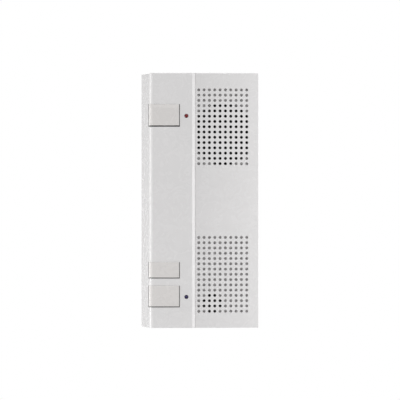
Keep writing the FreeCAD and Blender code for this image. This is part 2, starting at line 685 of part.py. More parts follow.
def tamper_switch_body():
    body = block(TAMPER_X, TAMPER_Z, TAMPER_SIZE, TAMPER_SIZE, BOARD_BACK, BOARD_BACK + TAMPER_H)
    well = rod_y(TAMPER_X, TAMPER_Z, TAMPER_D / 2 + FIT, BOARD_BACK + 0.8, BOARD_BACK + TAMPER_H + 1)
    return body.cut(well)


def tamper_plunger():
    tip = -0.4
    plunger = rod_y(TAMPER_X, TAMPER_Z, TAMPER_D / 2, BOARD_BACK + 1.2, tip)
    return plunger.makeFillet(0.6, [edge for edge in plunger.Edges if edge.BoundBox.YMin > tip - FIT])


def terminal_places():
    first = TERMINAL_X - (TERMINAL_WAYS - 1) * TERMINAL_PITCH / 2
    return [first + way * TERMINAL_PITCH for way in range(TERMINAL_WAYS)]


# Wall plate and terminals

def wall_plate():
    left = side_x(PLATE_Y) + WALL / math.cos(LEAN) + PLATE_GAP
    right = INSIDE_RIGHT - PLATE_GAP
    low = BOTTOM + WALL + 2 * PLATE_GAP
    high = TOP - WALL - PLATE_TOP_GAP
    plate = box(left, right, PLATE_Y, 0, low, high)
    upright = [edge for edge in plate.Edges if abs(edge.tangentAt(edge.FirstParameter).y) > 0.9]
    plate = plate.makeFillet(1.5, upright)
    rib_in = 4.0
    rib_top = PLATE_Y - PLATE_RIB
    outer = box(left + rib_in, right - rib_in, rib_top, PLATE_Y, low + rib_in + 6, high - rib_in)
    inner = box(left + rib_in + WALL, right - rib_in - WALL, rib_top - 1, PLATE_Y + 1,
                low + rib_in + WALL + 6, high - rib_in - WALL)
    shapes = [plate, outer.cut(inner)]
    entry = box(ENTRY_X - ENTRY_WIDTH / 2 - WALL, ENTRY_X + ENTRY_WIDTH / 2 + WALL, rib_top, PLATE_Y,
                ENTRY_Z - ENTRY_HEIGHT / 2 - WALL, ENTRY_Z + ENTRY_HEIGHT / 2 + WALL)
    shapes.append(entry)
    finger_front = HINGE_Y - HINGE_R - FINGER_GAP - FINGER_T
    finger_top = TOP - FINGER_DROP
    for x in (-HINGE_X, HINGE_X):
        half = HINGE_WINDOW / 2 - HINGE_SIDE_GAP
        shelf_top = HINGE_Z - HINGE_R - FINGER_GAP
        shelf_low = shelf_top - FINGER_T - 0.2
        shapes.append(box(x - half, x + half, finger_front, PLATE_Y + 1, shelf_low, shelf_top))
        shapes.append(box(x - half, x + half, finger_front, finger_front + FINGER_T, shelf_low, finger_top))
    tab_tip = LOCK_AXIS_Y - LOCK_NUT / 2 + FIT
    half_tab = LOCK_TAB_HALF
    shapes.append(box(-half_tab, half_tab, tab_tip, PLATE_Y + 1, TAB_Z, TAB_Z + LOCK_TAB_T))
    for x in (-half_tab, half_tab - WEB_T):
        web = [(PLATE_Y + 1, TAB_Z + LOCK_TAB_T), (tab_tip + 1, TAB_Z + LOCK_TAB_T),
               (PLATE_Y, TAB_Z + LOCK_TAB_T + WEB_H), (PLATE_Y + 1, TAB_Z + LOCK_TAB_T + WEB_H)]
        shapes.append(side_plate(web, x, x + WEB_T))
    plate = join(shapes)
    notch = LOCK_SCREW_R + LOOSE
    cuts = [
        box(-notch, notch, tab_tip - 1, LOCK_AXIS_Y, TAB_Z - 1, TAB_Z + LOCK_TAB_T + 1),
        rod_z(0, LOCK_AXIS_Y, notch, TAB_Z - 1, TAB_Z + LOCK_TAB_T + 1),
        box(ENTRY_X - ENTRY_WIDTH / 2, ENTRY_X + ENTRY_WIDTH / 2, rib_top - 1, 1,
            ENTRY_Z - ENTRY_HEIGHT / 2, ENTRY_Z + ENTRY_HEIGHT / 2),
        rod_y(TAMPER_X, TAMPER_Z, TAMPER_D / 2 + 1.0, PLATE_Y - 1, 1),
        rod_z(0, LOCK_AXIS_Y, LOCK_BOSS_R + LOOSE, BOTTOM, TAB_Z),
        block_z(LOCK_NUT + 2 * LOOSE, TAB_Z + LOCK_TAB_T, TAB_Z + LOCK_TAB_T + LOCK_NUT_T + 2 * LOCK_TRAVEL),
    ]
    for x in (-WALL_HOLE_X / 2, WALL_HOLE_X / 2):
        for z in (-WALL_HOLE_Z / 2, WALL_HOLE_Z / 2):
            cuts.append(rod_y(x, z, WALL_HOLE_R, PLATE_Y - 1, 1))
        run = SLOT_LENGTH / 2 - WALL_HOLE_R
        cuts.append(box(x - run, x + run, PLATE_Y - 1, 1, ENTRY_Z - WALL_HOLE_R, ENTRY_Z + WALL_HOLE_R))
        cuts.append(rod_y(x - run, ENTRY_Z, WALL_HOLE_R, PLATE_Y - 1, 1))
        cuts.append(rod_y(x + run, ENTRY_Z, WALL_HOLE_R, PLATE_Y - 1, 1))
    for x in terminal_screw_places():
        cuts.append(rod_y(x, TERMINAL_SCREW_Z, SCREW_R + SCREW_CLEAR, PLATE_Y - 1, PLATE_Y + 1.8))
    return plate.cut(cuts)


def terminal_screw_places():
    half = TERMINAL_WAYS * TERMINAL_PITCH / 2 + 2.8
    return (TERMINAL_X - half, TERMINAL_X + half)


def terminal_block():
    half = TERMINAL_WAYS * TERMINAL_PITCH / 2
    top = PLATE_Y - TERMINAL_H
    body = box(TERMINAL_X - half, TERMINAL_X + half, top, PLATE_Y, TERMINAL_Z0, TERMINAL_TOP)
    rim = [edge for edge in body.Edges if edge.BoundBox.YMax < top + FIT]
    body = body.makeChamfer(0.8, rim)
    feet = []
    for x in terminal_screw_places():
        feet.append(block(x, TERMINAL_SCREW_Z, 5.6, 6.0, PLATE_Y - 2, PLATE_Y))
    body = join([body] + feet)
    cuts = [rod_y(x, TERMINAL_SCREW_Z, SCREW_R + LOOSE, PLATE_Y - 3, PLATE_Y + 1)
            for x in terminal_screw_places()]
    for x in terminal_places():
        cuts.append(rod_y(x, TERMINAL_SCREW_Z, 1.8, top - 1, top + WELL))
        cuts.append(box(x - 1.9, x + 1.9, top + WELL, PLATE_Y - 1, TERMINAL_SCREW_Z - 2.5, TERMINAL_TOP + 1))
        cuts.append(box(x - 0.95, x + 0.95, top - 1, top + SPRING_SLOT, TERMINAL_Z0 + 1, TERMINAL_Z0 + 6))
    return body.cut(cuts)


def terminal_fixing_screws():
    screws = []
    for x in terminal_screw_places():
        screws.append(front_screw(x, TERMINAL_SCREW_Z, PLATE_Y - 2, SCREW_R, SCREW_HEAD_R, 3.6))
    return group(screws)


def front_screw(x, z, seat, radius, head_radius, length):
    """A screw driven towards the wall, its head in front of the plane y = seat."""
    head = rod_y(x, z, head_radius, seat - 1.2, seat)
    shank = rod_y(x, z, radius, seat, seat + length)
    return head.fuse(shank).removeSplitter().cut(block(x, z, 2 * head_radius, 0.6, seat - 2, seat - 0.6))


def terminal_screws():
    top = PLATE_Y - TERMINAL_H
    screws = []
    for x in terminal_places():
        screws.append(front_screw(x, TERMINAL_SCREW_Z, top + WELL - 0.8, 1.2, 1.6, 2.0))
    return group(screws)


def wire_clamps():
    """Square metal cages that the terminal screws pull up on the wires."""
    top = PLATE_Y - TERMINAL_H + WELL
    clamps = []
    for x in terminal_places():
        cage = box(x - 1.8, x + 1.8, top + 0.1, PLATE_Y - 1.1, TERMINAL_SCREW_Z - 2.2, TERMINAL_SCREW_Z + 2.2)
        cage = cage.cut(box(x - 1.2, x + 1.2, top + 1.3, PLATE_Y - 1.7, TERMINAL_SCREW_Z - 3,
                            TERMINAL_SCREW_Z + 3))
        clamps.append(cage.cut(rod_y(x, TERMINAL_SCREW_Z, 1.2 + FIT, top - 1, top + 1.5)))
    return group(clamps)


def contact_springs():
    """Bowed strips that press on the pads of the circuit board when the cover is shut."""
    foot = PLATE_Y - TERMINAL_H + SPRING_SLOT
    tip = BOARD_BACK + 0.2
    low = TERMINAL_Z0 + 1.1
    springs = []
    for x in terminal_places():
        outline = [(foot, low), (foot, low + 4.8), (foot - 0.25, low + 4.8), (foot - 0.25, low + 1.2),
                   (tip + 0.55, low + 2.6), (tip + 0.25, low + 2.3), (tip, low + 2.2), (tip, low + 1.6),
                   (foot - 0.5, low)]
        springs.append(side_plate(outline, x - 0.8, x + 0.8))
    return group(springs)


def rating_label():
    low = LOWER_GRILLE_Z - 10
    return box(-18, 18, PLATE_Y - 0.12, PLATE_Y, low, low + 22)


# Lock

def lock_screw():
    head_low = BOTTOM + HEAD_INSET - 2 * FIT
    neck = head_low + LOCK_HEAD_T
    head = rod_z(0, LOCK_AXIS_Y, LOCK_HEAD_R, head_low, neck)
    shank = rod_z(0, LOCK_AXIS_Y, LOCK_SCREW_R, neck, TAB_Z + LOCK_TAB_T + LOCK_NUT_T + 2.6)
    socket = hexagon(0, LOCK_AXIS_Y, 2.5, head_low - 1, head_low + 1.3)
    return head.fuse(shank).removeSplitter().cut(socket)


def lock_nut():
    low = TAB_Z + LOCK_TAB_T + 0.1
    half = LOCK_NUT / 2
    nut = box(-half, half, LOCK_AXIS_Y - half, LOCK_AXIS_Y + half, low, low + LOCK_NUT_T)
    return nut.cut(rod_z(0, LOCK_AXIS_Y, LOCK_SCREW_R + FIT, low - 1, low + LOCK_NUT_T + 1))


# Speaker

def speaker_frame():
    step = SPEAKER_Y + 1.0
    rim = SPEAKER_R
    ledge = BASKET_BACK - 1.9
    points = [
        (rim, SPEAKER_Y), (rim - 1.8, SPEAKER_Y), (rim - 1.8, step), (rim - 3.8, step),
        (MAGNET_D / 2 + 2.3, ledge), (MAGNET_D / 2 + 1.2, ledge),
        (MAGNET_D / 2 + 1.2, BASKET_BACK - RIM_PLATE), (GAP_D / 2 + 0.4, BASKET_BACK - RIM_PLATE),
        (GAP_D / 2 + 0.4, BASKET_BACK), (MAGNET_D / 2 + 2.0, BASKET_BACK),
        (rim - 3.1, step + RIM_PLATE), (rim - 0.8, step + RIM_PLATE), (rim - 0.8, SPEAKER_Y + RIM_PLATE),
        (rim, SPEAKER_Y + RIM_PLATE),
    ]
    basket = turned(points, SPEAKER_X, SPEAKER_Z)
    vents = []
    for step_angle in range(6):
        x, z = at_angle(SPEAKER_X, SPEAKER_Z, MAGNET_D / 2 + 5.6, 60 * step_angle + 30)
        vents.append(rod_y(x, z, 2.6, SPEAKER_Y, BASKET_BACK + 1))
    return basket.cut(vents)


def speaker_top_plate():
    return tube_y(SPEAKER_X, SPEAKER_Z, MAGNET_D / 2 - 1, GAP_D / 2, BASKET_BACK, TOP_PLATE_BACK)


def speaker_magnet():
    ring = tube_y(SPEAKER_X, SPEAKER_Z, MAGNET_D / 2, GAP_D / 2 + 0.8, TOP_PLATE_BACK, MAGNET_BACK)
    outer = [edge for edge in ring.Edges if edge.BoundBox.XLength > MAGNET_D - 0.1]
    return ring.makeChamfer(0.3, outer)


def speaker_yoke():
    back = rod_y(SPEAKER_X, SPEAKER_Z, MAGNET_D / 2 - 1, MAGNET_BACK, YOKE_BACK)
    pole = rod_y(SPEAKER_X, SPEAKER_Z, POLE_D / 2, BASKET_BACK, MAGNET_BACK + FIT)
    return join([back, pole])


def voice_coil():
    former_r = COIL_R + FORMER_T
    former = tube_y(SPEAKER_X, SPEAKER_Z, former_r, COIL_R, SPEAKER_Y + NECK_BACK, TOP_PLATE_BACK + LOOSE)
    winding = tube_y(SPEAKER_X, SPEAKER_Z, former_r + WINDING_T, former_r - FIT, BASKET_BACK, TOP_PLATE_BACK)
    return join([former, winding])


def cone_front(radius):
    """Front face of the cone at a radius."""
    neck_y = SPEAKER_Y + NECK_BACK + LOOSE
    edge_y = SPEAKER_Y + CONE_EDGE_BACK
    neck = COIL_R + FORMER_T
    share = (radius - neck) / (CONE_D / 2 - neck)
    return neck_y + share * (edge_y - neck_y)


def speaker_cone():
    neck = COIL_R + FORMER_T + FIT / 2
    edge = CONE_D / 2
    points = [(neck, cone_front(neck)), (edge, cone_front(edge)),
              (edge, cone_front(edge) + CONE_T), (neck, cone_front(neck) + CONE_T)]
    return turned(points, SPEAKER_X, SPEAKER_Z)


def dust_cap():
    base_r = COIL_R + 1.6
    height = 2.5
    radius = (base_r ** 2 + height ** 2) / (2 * height)
    base_y = cone_front(base_r) - FIT
    centre = Vec(SPEAKER_X, base_y - height + radius, SPEAKER_Z)
    shell = Part.makeSphere(radius, centre).cut(Part.makeSphere(radius - 0.3, centre))
    return shell.common(rod_y(SPEAKER_X, SPEAKER_Z, base_r + 1, base_y - height - 1, base_y))


def speaker_surround():
    """Half-roll between the cone's edge and the frame's step."""
    inner = CONE_D / 2 + 0.1
    lip = SPEAKER_R - 3.7
    outer = SPEAKER_R - 2.0
    seat = SPEAKER_Y + 1.0
    middle = (inner + lip) / 2
    roll = (lip - inner) / 2
    points = []
    for step_count in range(9):
        angle = math.pi * step_count / 8
        points.append((middle - roll * math.cos(angle), seat - 0.25 - roll * math.sin(angle)))
    points.append((outer, seat - 0.25))
    points.append((outer, seat))
    points.append((lip, seat))
    for step_count in range(8, -1, -1):
        angle = math.pi * step_count / 8
        points.append((middle - (roll - 0.2) * math.cos(angle), seat - (roll - 0.2) * math.sin(angle)))
    return turned(points, SPEAKER_X, SPEAKER_Z)


def speaker_spider():
    """Corrugated centring ring on the ledge of the frame."""
    inner = COIL_R + 0.35
    outer = MAGNET_D / 2 + 2.2
    seat = BASKET_BACK - 1.9
    steps = 24
    front = []
    back = []
    for count in range(steps + 1):
        radius = inner + (outer - inner) * count / steps
        wave = 0.12 * math.sin(2 * math.pi * 4 * count / steps)
        front.append((radius, seat - 0.45 + wave))
        back.append((radius, seat - 0.2 + wave))
    rim = tube_y(SPEAKER_X, SPEAKER_Z, outer, outer - 0.9, seat - 0.3, seat)
    return join([turned(front + back[::-1], SPEAKER_X, SPEAKER_Z), rim])


def speaker_gasket():
    inner = SPEAKER_R + LOOSE - RING_WALL
    return tube_y(SPEAKER_X, SPEAKER_Z, SPEAKER_R, inner, SPEAKER_Y - GASKET_T, SPEAKER_Y)


def clamp_bar(angle):
    """A short bar screwed to its post that laps over the back of the speaker's rim."""
    seat = SPEAKER_Y + RIM_PLATE
    post_x, post_z = at_angle(SPEAKER_X, SPEAKER_Z, CLAMP_RADIUS, angle)
    bar = box(-BOSS_R, 3.8, seat, seat + CLAMP_T, -BOSS_R, BOSS_R)
    upright = [edge for edge in bar.Edges if abs(edge.tangentAt(edge.FirstParameter).y) > 0.9]
    bar = bar.makeFillet(1.0, upright)
    bar = bar.cut(rod_y(0, 0, SCREW_R + LOOSE / 2, seat - 1, seat + CLAMP_T + 1))
    bar.rotate(Vec(0, 0, 0), Vec(0, 1, 0), 180 - angle)
    bar.translate(Vec(post_x, 0, post_z))
    return bar


def speaker_clamps():
    keep_out = rod_y(SPEAKER_X, SPEAKER_Z, SPEAKER_R - 0.8 + FIT, SPEAKER_Y, BASKET_BACK)
    return group([clamp_bar(angle).cut(keep_out) for angle in CLAMP_ANGLES])


def speaker_clamp_screws():
    screws = []
    for angle in CLAMP_ANGLES:
        x, z = at_angle(SPEAKER_X, SPEAKER_Z, CLAMP_RADIUS, angle)
        screws.append(pan_screw(x, z, SPEAKER_Y + RIM_PLATE + CLAMP_T, 4.5))
    return group(screws)


def speaker_terminals():
    strip = box(SPEAKER_X - 5, SPEAKER_X + 5, TAG_Y, TAG_Y + 0.8, TAG_LOW, SPEAKER_Z - SPEAKER_R + 2.9)
    shapes = [strip]
    for side in (-2, 2):
        shapes.append(block(SPEAKER_X + side, TAG_LOW + 2.2, 2.2, 3.6, TAG_Y + 0.8, TAG_Y + 1.1))
    return join(shapes)


def board_header():
    body = box(SPEAKER_X - 4, SPEAKER_X + 4, BOARD_Y - HEADER_H, BOARD_Y, PLUG_TOP - 13, PLUG_TOP - 4)
    inside = box(SPEAKER_X - 3.2, SPEAKER_X + 3.2, BOARD_Y - HEADER_H + 0.8, BOARD_Y - 0.8,
                 PLUG_TOP - 10.5, PLUG_TOP)
    return body.cut(inside)


def lead_plug():
    body = box(SPEAKER_X - 3.1, SPEAKER_X + 3.1, BOARD_Y - HEADER_H + 0.9, BOARD_Y - 0.9,
               PLUG_TOP - 10.4, PLUG_TOP)
    ribs = [box(SPEAKER_X + side - 0.4, SPEAKER_X + side + 0.4, BOARD_Y - HEADER_H + 0.4,
                BOARD_Y - HEADER_H + 0.9, PLUG_TOP - 3.4, PLUG_TOP) for side in (-1.6, 1.6)]
    return join([body] + ribs)


def lead(side):
    """One speaker wire: straight runs joined by tangent arcs, from its tag down to the plug."""
    radius = 0.65
    plug_y = BOARD_Y - HEADER_H / 2
    start = Vec(SPEAKER_X + side * 2, TAG_Y + 1.1 + radius, TAG_LOW + 3.4)
    route = [
        start,
        Vec(SPEAKER_X + side * 2, TAG_Y + 1.2 + radius, TAG_LOW - 1.2),
        Vec(SPEAKER_X + side * 2.3, plug_y + 0.5, (TAG_LOW + PLUG_TOP) / 2),
        Vec(SPEAKER_X + side * 1.5, plug_y, PLUG_TOP + 2.2),
        Vec(SPEAKER_X + side * 1.5, plug_y, PLUG_TOP),
    ]
    edges = []
    last = route[0]
    for before, corner, after in zip(route, route[1:], route[2:]):
        toward = (before - corner).normalize()
        away = (after - corner).normalize()
        turn = math.pi - toward.getAngle(away)
        run = min((before - corner).Length, (after - corner).Length)
        if turn < 0.02:
            continue
        reach = 0.45 * run
        bend = reach / math.tan(turn / 2)
        middle_way = (toward + away).normalize()
        centre = corner + middle_way * (bend / math.cos(turn / 2))
        first = corner + toward * reach
        second = corner + away * reach
        edges.append(Part.makeLine(last, first))
        edges.append(Part.Arc(first, centre - middle_way * bend, second).toShape())
        last = second
    edges.append(Part.makeLine(last, route[-1]))
    path = Part.Wire(edges)
    ring = Part.Wire(Part.makeCircle(radius, route[0], route[1] - route[0]))
    return path.makePipeShell([ring], True, True)


def speaker_leads():
    return group([lead(-1), lead(1)])


PARTS = {
    "wall_plate": wall_plate,
    "terminal_block": terminal_block,
    "terminal_fixing_screws": terminal_fixing_screws,
    "terminal_screws": terminal_screws,
    "wire_clamps": wire_clamps,
    "contact_springs": contact_springs,
    "rating_label": rating_label,
    "front_cover": front_cover,
    "circuit_board": circuit_board,
    "board_screws": board_screws,
    "lamp_spacers": lamp_spacers,
    "piezo_sounder": piezo_sounder,
    "sounder_boot": sounder_boot,
    "electrolytic_capacitors": electrolytic_capacitors,
    "power_inductor": power_inductor,
    "relay": relay,
    "contact_pads": contact_pads,
    "trimmer_body": trimmer_body,
    "trimmer_rotor": trimmer_rotor,
    "tamper_switch_body": tamper_switch_body,
    "tamper_plunger": tamper_plunger,
    "lock_screw": lock_screw,
    "lock_nut": lock_nut,
    "speaker_frame": speaker_frame,
    "speaker_top_plate": speaker_top_plate,
    "speaker_magnet": speaker_magnet,
    "speaker_yoke": speaker_yoke,
    "voice_coil": voice_coil,
    "speaker_cone": speaker_cone,
    "dust_cap": dust_cap,
    "speaker_surround": speaker_surround,
    "speaker_spider": speaker_spider,
    "speaker_gasket": speaker_gasket,
    "speaker_clamps": speaker_clamps,
    "speaker_clamp_screws": speaker_clamp_screws,
    "speaker_terminals": speaker_terminals,
    "board_header": board_header,
    "lead_plug": lead_plug,
    "speaker_leads": speaker_leads,
}


def write(name, shape):
    shape.exportStep("parts/" + name + ".step")
    print(name, len(shape.Solids), "solids", round(shape.Volume, 2), "mm3", shape.isValid())


def main():
    os.makedirs("parts", exist_ok=True)
    for name, make in PARTS.items():
        write(name, make())
    write("amplifier_chip", leaded_chip(AMPLIFIER_X, AMPLIFIER_Z, 10, 4, 1.6, 8, 1.27))
    write("microcontroller", leaded_chip(CONTROLLER_X, CONTROLLER_Z, 8, 5.3, 1.4, 10, 0.8))
    write("red_lamp", lamp(RED_Z))
    write("blue_lamp", lamp(BLUE_Z))
    for name, (base, height) in KEYS.items():
        middle = base + height / 2
        write(name + "_key", key_cap(base, height, name == "upper"))
        write(name + "_key_carrier", key_carrier(base, height))
        write(name + "_switch_body", switch_body(middle))
        write(name + "_switch_plunger", switch_plunger(middle))


main()
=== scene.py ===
"""Looks of a wall-mounted alarm siren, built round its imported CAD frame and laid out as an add-on."""

import json
import math
import random

import bmesh
import bpy
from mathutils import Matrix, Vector


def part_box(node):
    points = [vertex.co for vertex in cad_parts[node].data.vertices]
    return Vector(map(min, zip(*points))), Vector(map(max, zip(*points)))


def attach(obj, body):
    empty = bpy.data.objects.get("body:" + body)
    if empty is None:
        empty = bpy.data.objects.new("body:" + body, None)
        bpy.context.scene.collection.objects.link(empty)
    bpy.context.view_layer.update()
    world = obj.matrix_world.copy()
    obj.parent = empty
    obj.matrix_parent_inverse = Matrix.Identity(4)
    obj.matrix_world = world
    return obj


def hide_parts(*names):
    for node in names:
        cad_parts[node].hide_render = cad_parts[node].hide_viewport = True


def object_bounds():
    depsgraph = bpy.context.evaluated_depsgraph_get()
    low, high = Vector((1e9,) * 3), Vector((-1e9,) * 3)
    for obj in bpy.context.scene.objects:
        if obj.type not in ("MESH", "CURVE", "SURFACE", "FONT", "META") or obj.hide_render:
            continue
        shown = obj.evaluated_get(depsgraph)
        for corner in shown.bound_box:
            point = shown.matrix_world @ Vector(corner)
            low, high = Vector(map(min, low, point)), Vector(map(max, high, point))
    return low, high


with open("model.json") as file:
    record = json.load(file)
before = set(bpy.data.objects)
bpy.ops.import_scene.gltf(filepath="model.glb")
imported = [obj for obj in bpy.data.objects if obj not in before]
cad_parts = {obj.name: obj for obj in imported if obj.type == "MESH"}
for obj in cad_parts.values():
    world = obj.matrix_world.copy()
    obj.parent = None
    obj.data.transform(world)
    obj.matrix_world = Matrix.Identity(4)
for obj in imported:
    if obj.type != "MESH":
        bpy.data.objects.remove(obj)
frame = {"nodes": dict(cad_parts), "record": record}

bl_info = {
    "name": "Wall alarm siren",
    "version": (1, 0, 0),
    "blender": (4, 5, 0),
    "location": "3D View > Sidebar > Siren",
    "description": "Finishes, small parts and a stage for a wall-mounted alarm siren",
    "category": "Object",
}

MM = 0.001
TINY = 0.01 * MM
CAD_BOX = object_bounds()
NODES = frame["nodes"]
SLOT_OF = {row["node"]: row["material_slot"] for row in frame["record"]["subparts"]}


def centre_of(node):
    low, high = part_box(node)
    return (low + high) / 2


SPEAKER = centre_of("speaker_magnet")
BOARD_LOW, BOARD_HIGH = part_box("circuit_board")


# Settings that a user would change

def colour_setting(name, description, default):
    return bpy.props.FloatVectorProperty(name=name, description=description, default=default,
                                         subtype="COLOR", size=3, min=0.0, max=1.0)


def length_setting(name, description, millimetres):
    return bpy.props.FloatProperty(name=name, description=description, default=millimetres * MM,
                                   subtype="DISTANCE", unit="LENGTH", min=0.0, precision=5)


class SirenColours(bpy.types.PropertyGroup):
    """Colours of the siren's main finishes"""

    housing: colour_setting("Housing", "Moulded front cover", (0.80, 0.787, 0.785))
    key: colour_setting("Keys", "Push keys, a little warmer than the cover", (0.757, 0.732, 0.715))
    plate: colour_setting("Wall plate", "Moulded plate on the wall", (0.76, 0.76, 0.75))
    board: colour_setting("Circuit board", "Solder mask", (0.012, 0.13, 0.05))
    red_lens: colour_setting("Red lamp", "Tinted body of the upper lamp", (0.26, 0.006, 0.009))
    blue_lens: colour_setting("Blue lamp", "Tinted body of the lower lamp", (0.034, 0.022, 0.12))
    cone: colour_setting("Speaker cone", "Pressed paper", (0.03, 0.03, 0.032))
    terminal: colour_setting("Terminals", "Moulded terminal block", (0.02, 0.20, 0.07))


class SirenSizes(bpy.types.PropertyGroup):
    """Sizes of the small pieces that finish the siren"""

    grain: length_setting("Moulding grain", "Size of the fine texture of the white mouldings", 0.35)
    grain_depth: length_setting("Grain depth", "Depth of that texture", 0.012)
    cone_rib: length_setting("Cone rib", "Height of the ribs pressed in the speaker cone", 0.12)
    solder_joint: length_setting("Solder joint", "Radius of a solder joint on the board", 0.85)
    resistor_length: length_setting("Resistor length", "Length of a chip resistor", 2.0)
    lead_radius: length_setting("Lead radius", "Radius of a speaker lead with its sleeve", 0.6)
    ribs: bpy.props.IntProperty(name="Cone ribs", description="Ribs pressed in the speaker cone",
                                default=5, min=0, max=12)
    seed: bpy.props.IntProperty(name="Seed", description="Order of the chip parts on the board",
                                default=4, min=0)


class SirenStage(bpy.types.PropertyGroup):
    """Camera, light and floor"""

    distance: bpy.props.FloatProperty(name="Camera distance", description="Camera to the wall",
                                      default=2.5, subtype="DISTANCE", unit="LENGTH", min=0.5)
    picture_width: length_setting("Picture width", "Width that the picture shows at the front face", 301.1)
    floor_drop: length_setting("Floor drop", "Floor below the siren's lower edge", 110.0)
    top_power: bpy.props.FloatProperty(name="Top light", description="Power of the large light overhead",
                                       default=18.5, unit="POWER", min=0.0)
    left_power: bpy.props.FloatProperty(name="Left light", description="Power of the tall light on the left",
                                        default=7.8, unit="POWER", min=0.0)
    right_power: bpy.props.FloatProperty(name="Right light",
                                         description="Power of the narrow light close on the right",
                                         default=0.43, unit="POWER", min=0.0)
    low_left_power: bpy.props.FloatProperty(name="Low left light",
                                            description="Power of the small light low on the left",
                                            default=0.275, unit="POWER", min=0.0)
    rear_power: bpy.props.FloatProperty(name="Rear light", description="Power of the light behind the siren",
                                        default=8.0, unit="POWER", min=0.0)
    ambient: bpy.props.FloatProperty(name="Ambient", description="Strength of the even studio light",
                                     default=0.335, min=0.0)


# Node helpers

def add_node(tree, kind, **settings):
    node = tree.nodes.new(kind)
    for name, value in settings.items():
        setattr(node, name, value)
    return node


def wire(tree, source, target):
    tree.links.new(source, target)


def math_node(tree, operation, first, second=None):
    node = add_node(tree, "ShaderNodeMath", operation=operation)
    for place, value in enumerate((first, second)):
        if value is None:
            continue
        if isinstance(value, (int, float)):
            node.inputs[place].default_value = value
        else:
            wire(tree, value, node.inputs[place])
    return node.outputs[0]


def noise(tree, vector, scale, detail=3.0, roughness=0.55, distortion=0.0):
    node = add_node(tree, "ShaderNodeTexNoise")
    node.inputs["Detail"].default_value = detail
    node.inputs["Roughness"].default_value = roughness
    node.inputs["Distortion"].default_value = distortion
    wire(tree, vector, node.inputs["Vector"])
    if isinstance(scale, (int, float)):
        node.inputs["Scale"].default_value = scale
    else:
        wire(tree, scale, node.inputs["Scale"])
    return node.outputs["Fac"]


def spread(tree, value, low, high, to_low=0.0, to_high=1.0):
    node = add_node(tree, "ShaderNodeMapRange")
    node.inputs["From Min"].default_value = low
    node.inputs["From Max"].default_value = high
    node.inputs["To Min"].default_value = to_low
    node.inputs["To Max"].default_value = to_high
    wire(tree, value, node.inputs["Value"])
    return node.outputs["Result"]


def mix_colour(tree, factor, first, second):
    """first where factor is 0 and second where it is 1; either may be a colour or a socket."""
    node = add_node(tree, "ShaderNodeMix", data_type="RGBA")
    wire(tree, factor, node.inputs["Factor"])
    for place, value in ((6, first), (7, second)):
        if hasattr(value, "is_linked"):
            wire(tree, value, node.inputs[place])
        else:
            node.inputs[place].default_value = (*value, 1.0)
    return node.outputs[2]


def new_group(name, inputs, outputs):
    group = bpy.data.node_groups.new(name, "ShaderNodeTree")
    for label, default in inputs:
        socket = group.interface.new_socket(label, in_out="INPUT", socket_type="NodeSocketFloat")
        socket.default_value = default
    for label in outputs:
        group.interface.new_socket(label, in_out="OUTPUT", socket_type="NodeSocketFloat")
    entry = add_node(group, "NodeGroupInput")
    leave = add_node(group, "NodeGroupOutput")
    place = add_node(group, "ShaderNodeTexCoord").outputs["Object"]
    return group, entry.outputs, leave.inputs, place


def moulded_grain_group():
    """Fine moulding texture, slow colour mottle and faint handling marks."""
    group, given, made, place = new_group(
        "moulded_grain", [("Grain Scale", 2800.0), ("Mottle Scale", 40.0)], ["Height", "Mottle", "Marks"])
    wire(group, noise(group, place, given["Grain Scale"], 2.0, 0.6), made["Height"])
    mottle = noise(group, place, given["Mottle Scale"], 4.0)
    wire(group, spread(group, mottle, 0.35, 0.65), made["Mottle"])
    marks = noise(group, place, 95.0, 5.0, 0.65, 1.6)
    wire(group, spread(group, marks, 0.42, 0.68), made["Marks"])
    return group


def drawn_metal_group():
    """Streaks along one axis with fine pits, for rolled, turned and plated metal."""
    group, given, made, place = new_group(
        "drawn_metal", [("Streak Scale", 900.0), ("Stretch", 0.06)], ["Height", "Streak", "Tarnish"])
    parts = add_node(group, "ShaderNodeSeparateXYZ")
    wire(group, place, parts.inputs[0])
    long_way = math_node(group, "MULTIPLY", parts.outputs["X"], given["Stretch"])
    packed = add_node(group, "ShaderNodeCombineXYZ")
    wire(group, long_way, packed.inputs["X"])
    wire(group, parts.outputs["Y"], packed.inputs["Y"])
    wire(group, parts.outputs["Z"], packed.inputs["Z"])
    streak = noise(group, packed.outputs[0], given["Streak Scale"], 3.0)
    wire(group, streak, made["Height"])
    wire(group, spread(group, streak, 0.3, 0.7), made["Streak"])
    wire(group, spread(group, noise(group, place, 260.0, 4.0, 0.6, 0.8), 0.5, 0.72), made["Tarnish"])
    return group


def fibre_group():
    """Short crossing fibres, for paper, cloth and foam."""
    group, given, made, place = new_group("fibre", [("Fibre Scale", 1500.0)], ["Height", "Blotch"])
    fine = noise(group, place, given["Fibre Scale"], 4.0, 0.7, 2.2)
    wire(group, fine, made["Height"])
    wire(group, spread(group, noise(group, place, 180.0, 3.0), 0.35, 0.65), made["Blotch"])
    return group


FIELDS_WITH_TRACKS = 0.72       # share of the square fields that hold tracks
TRACK_SHARE = 0.45              # track's width as a share of the pitch
VIA_REACH = 0.085               # via pad's radius in the pattern's own units


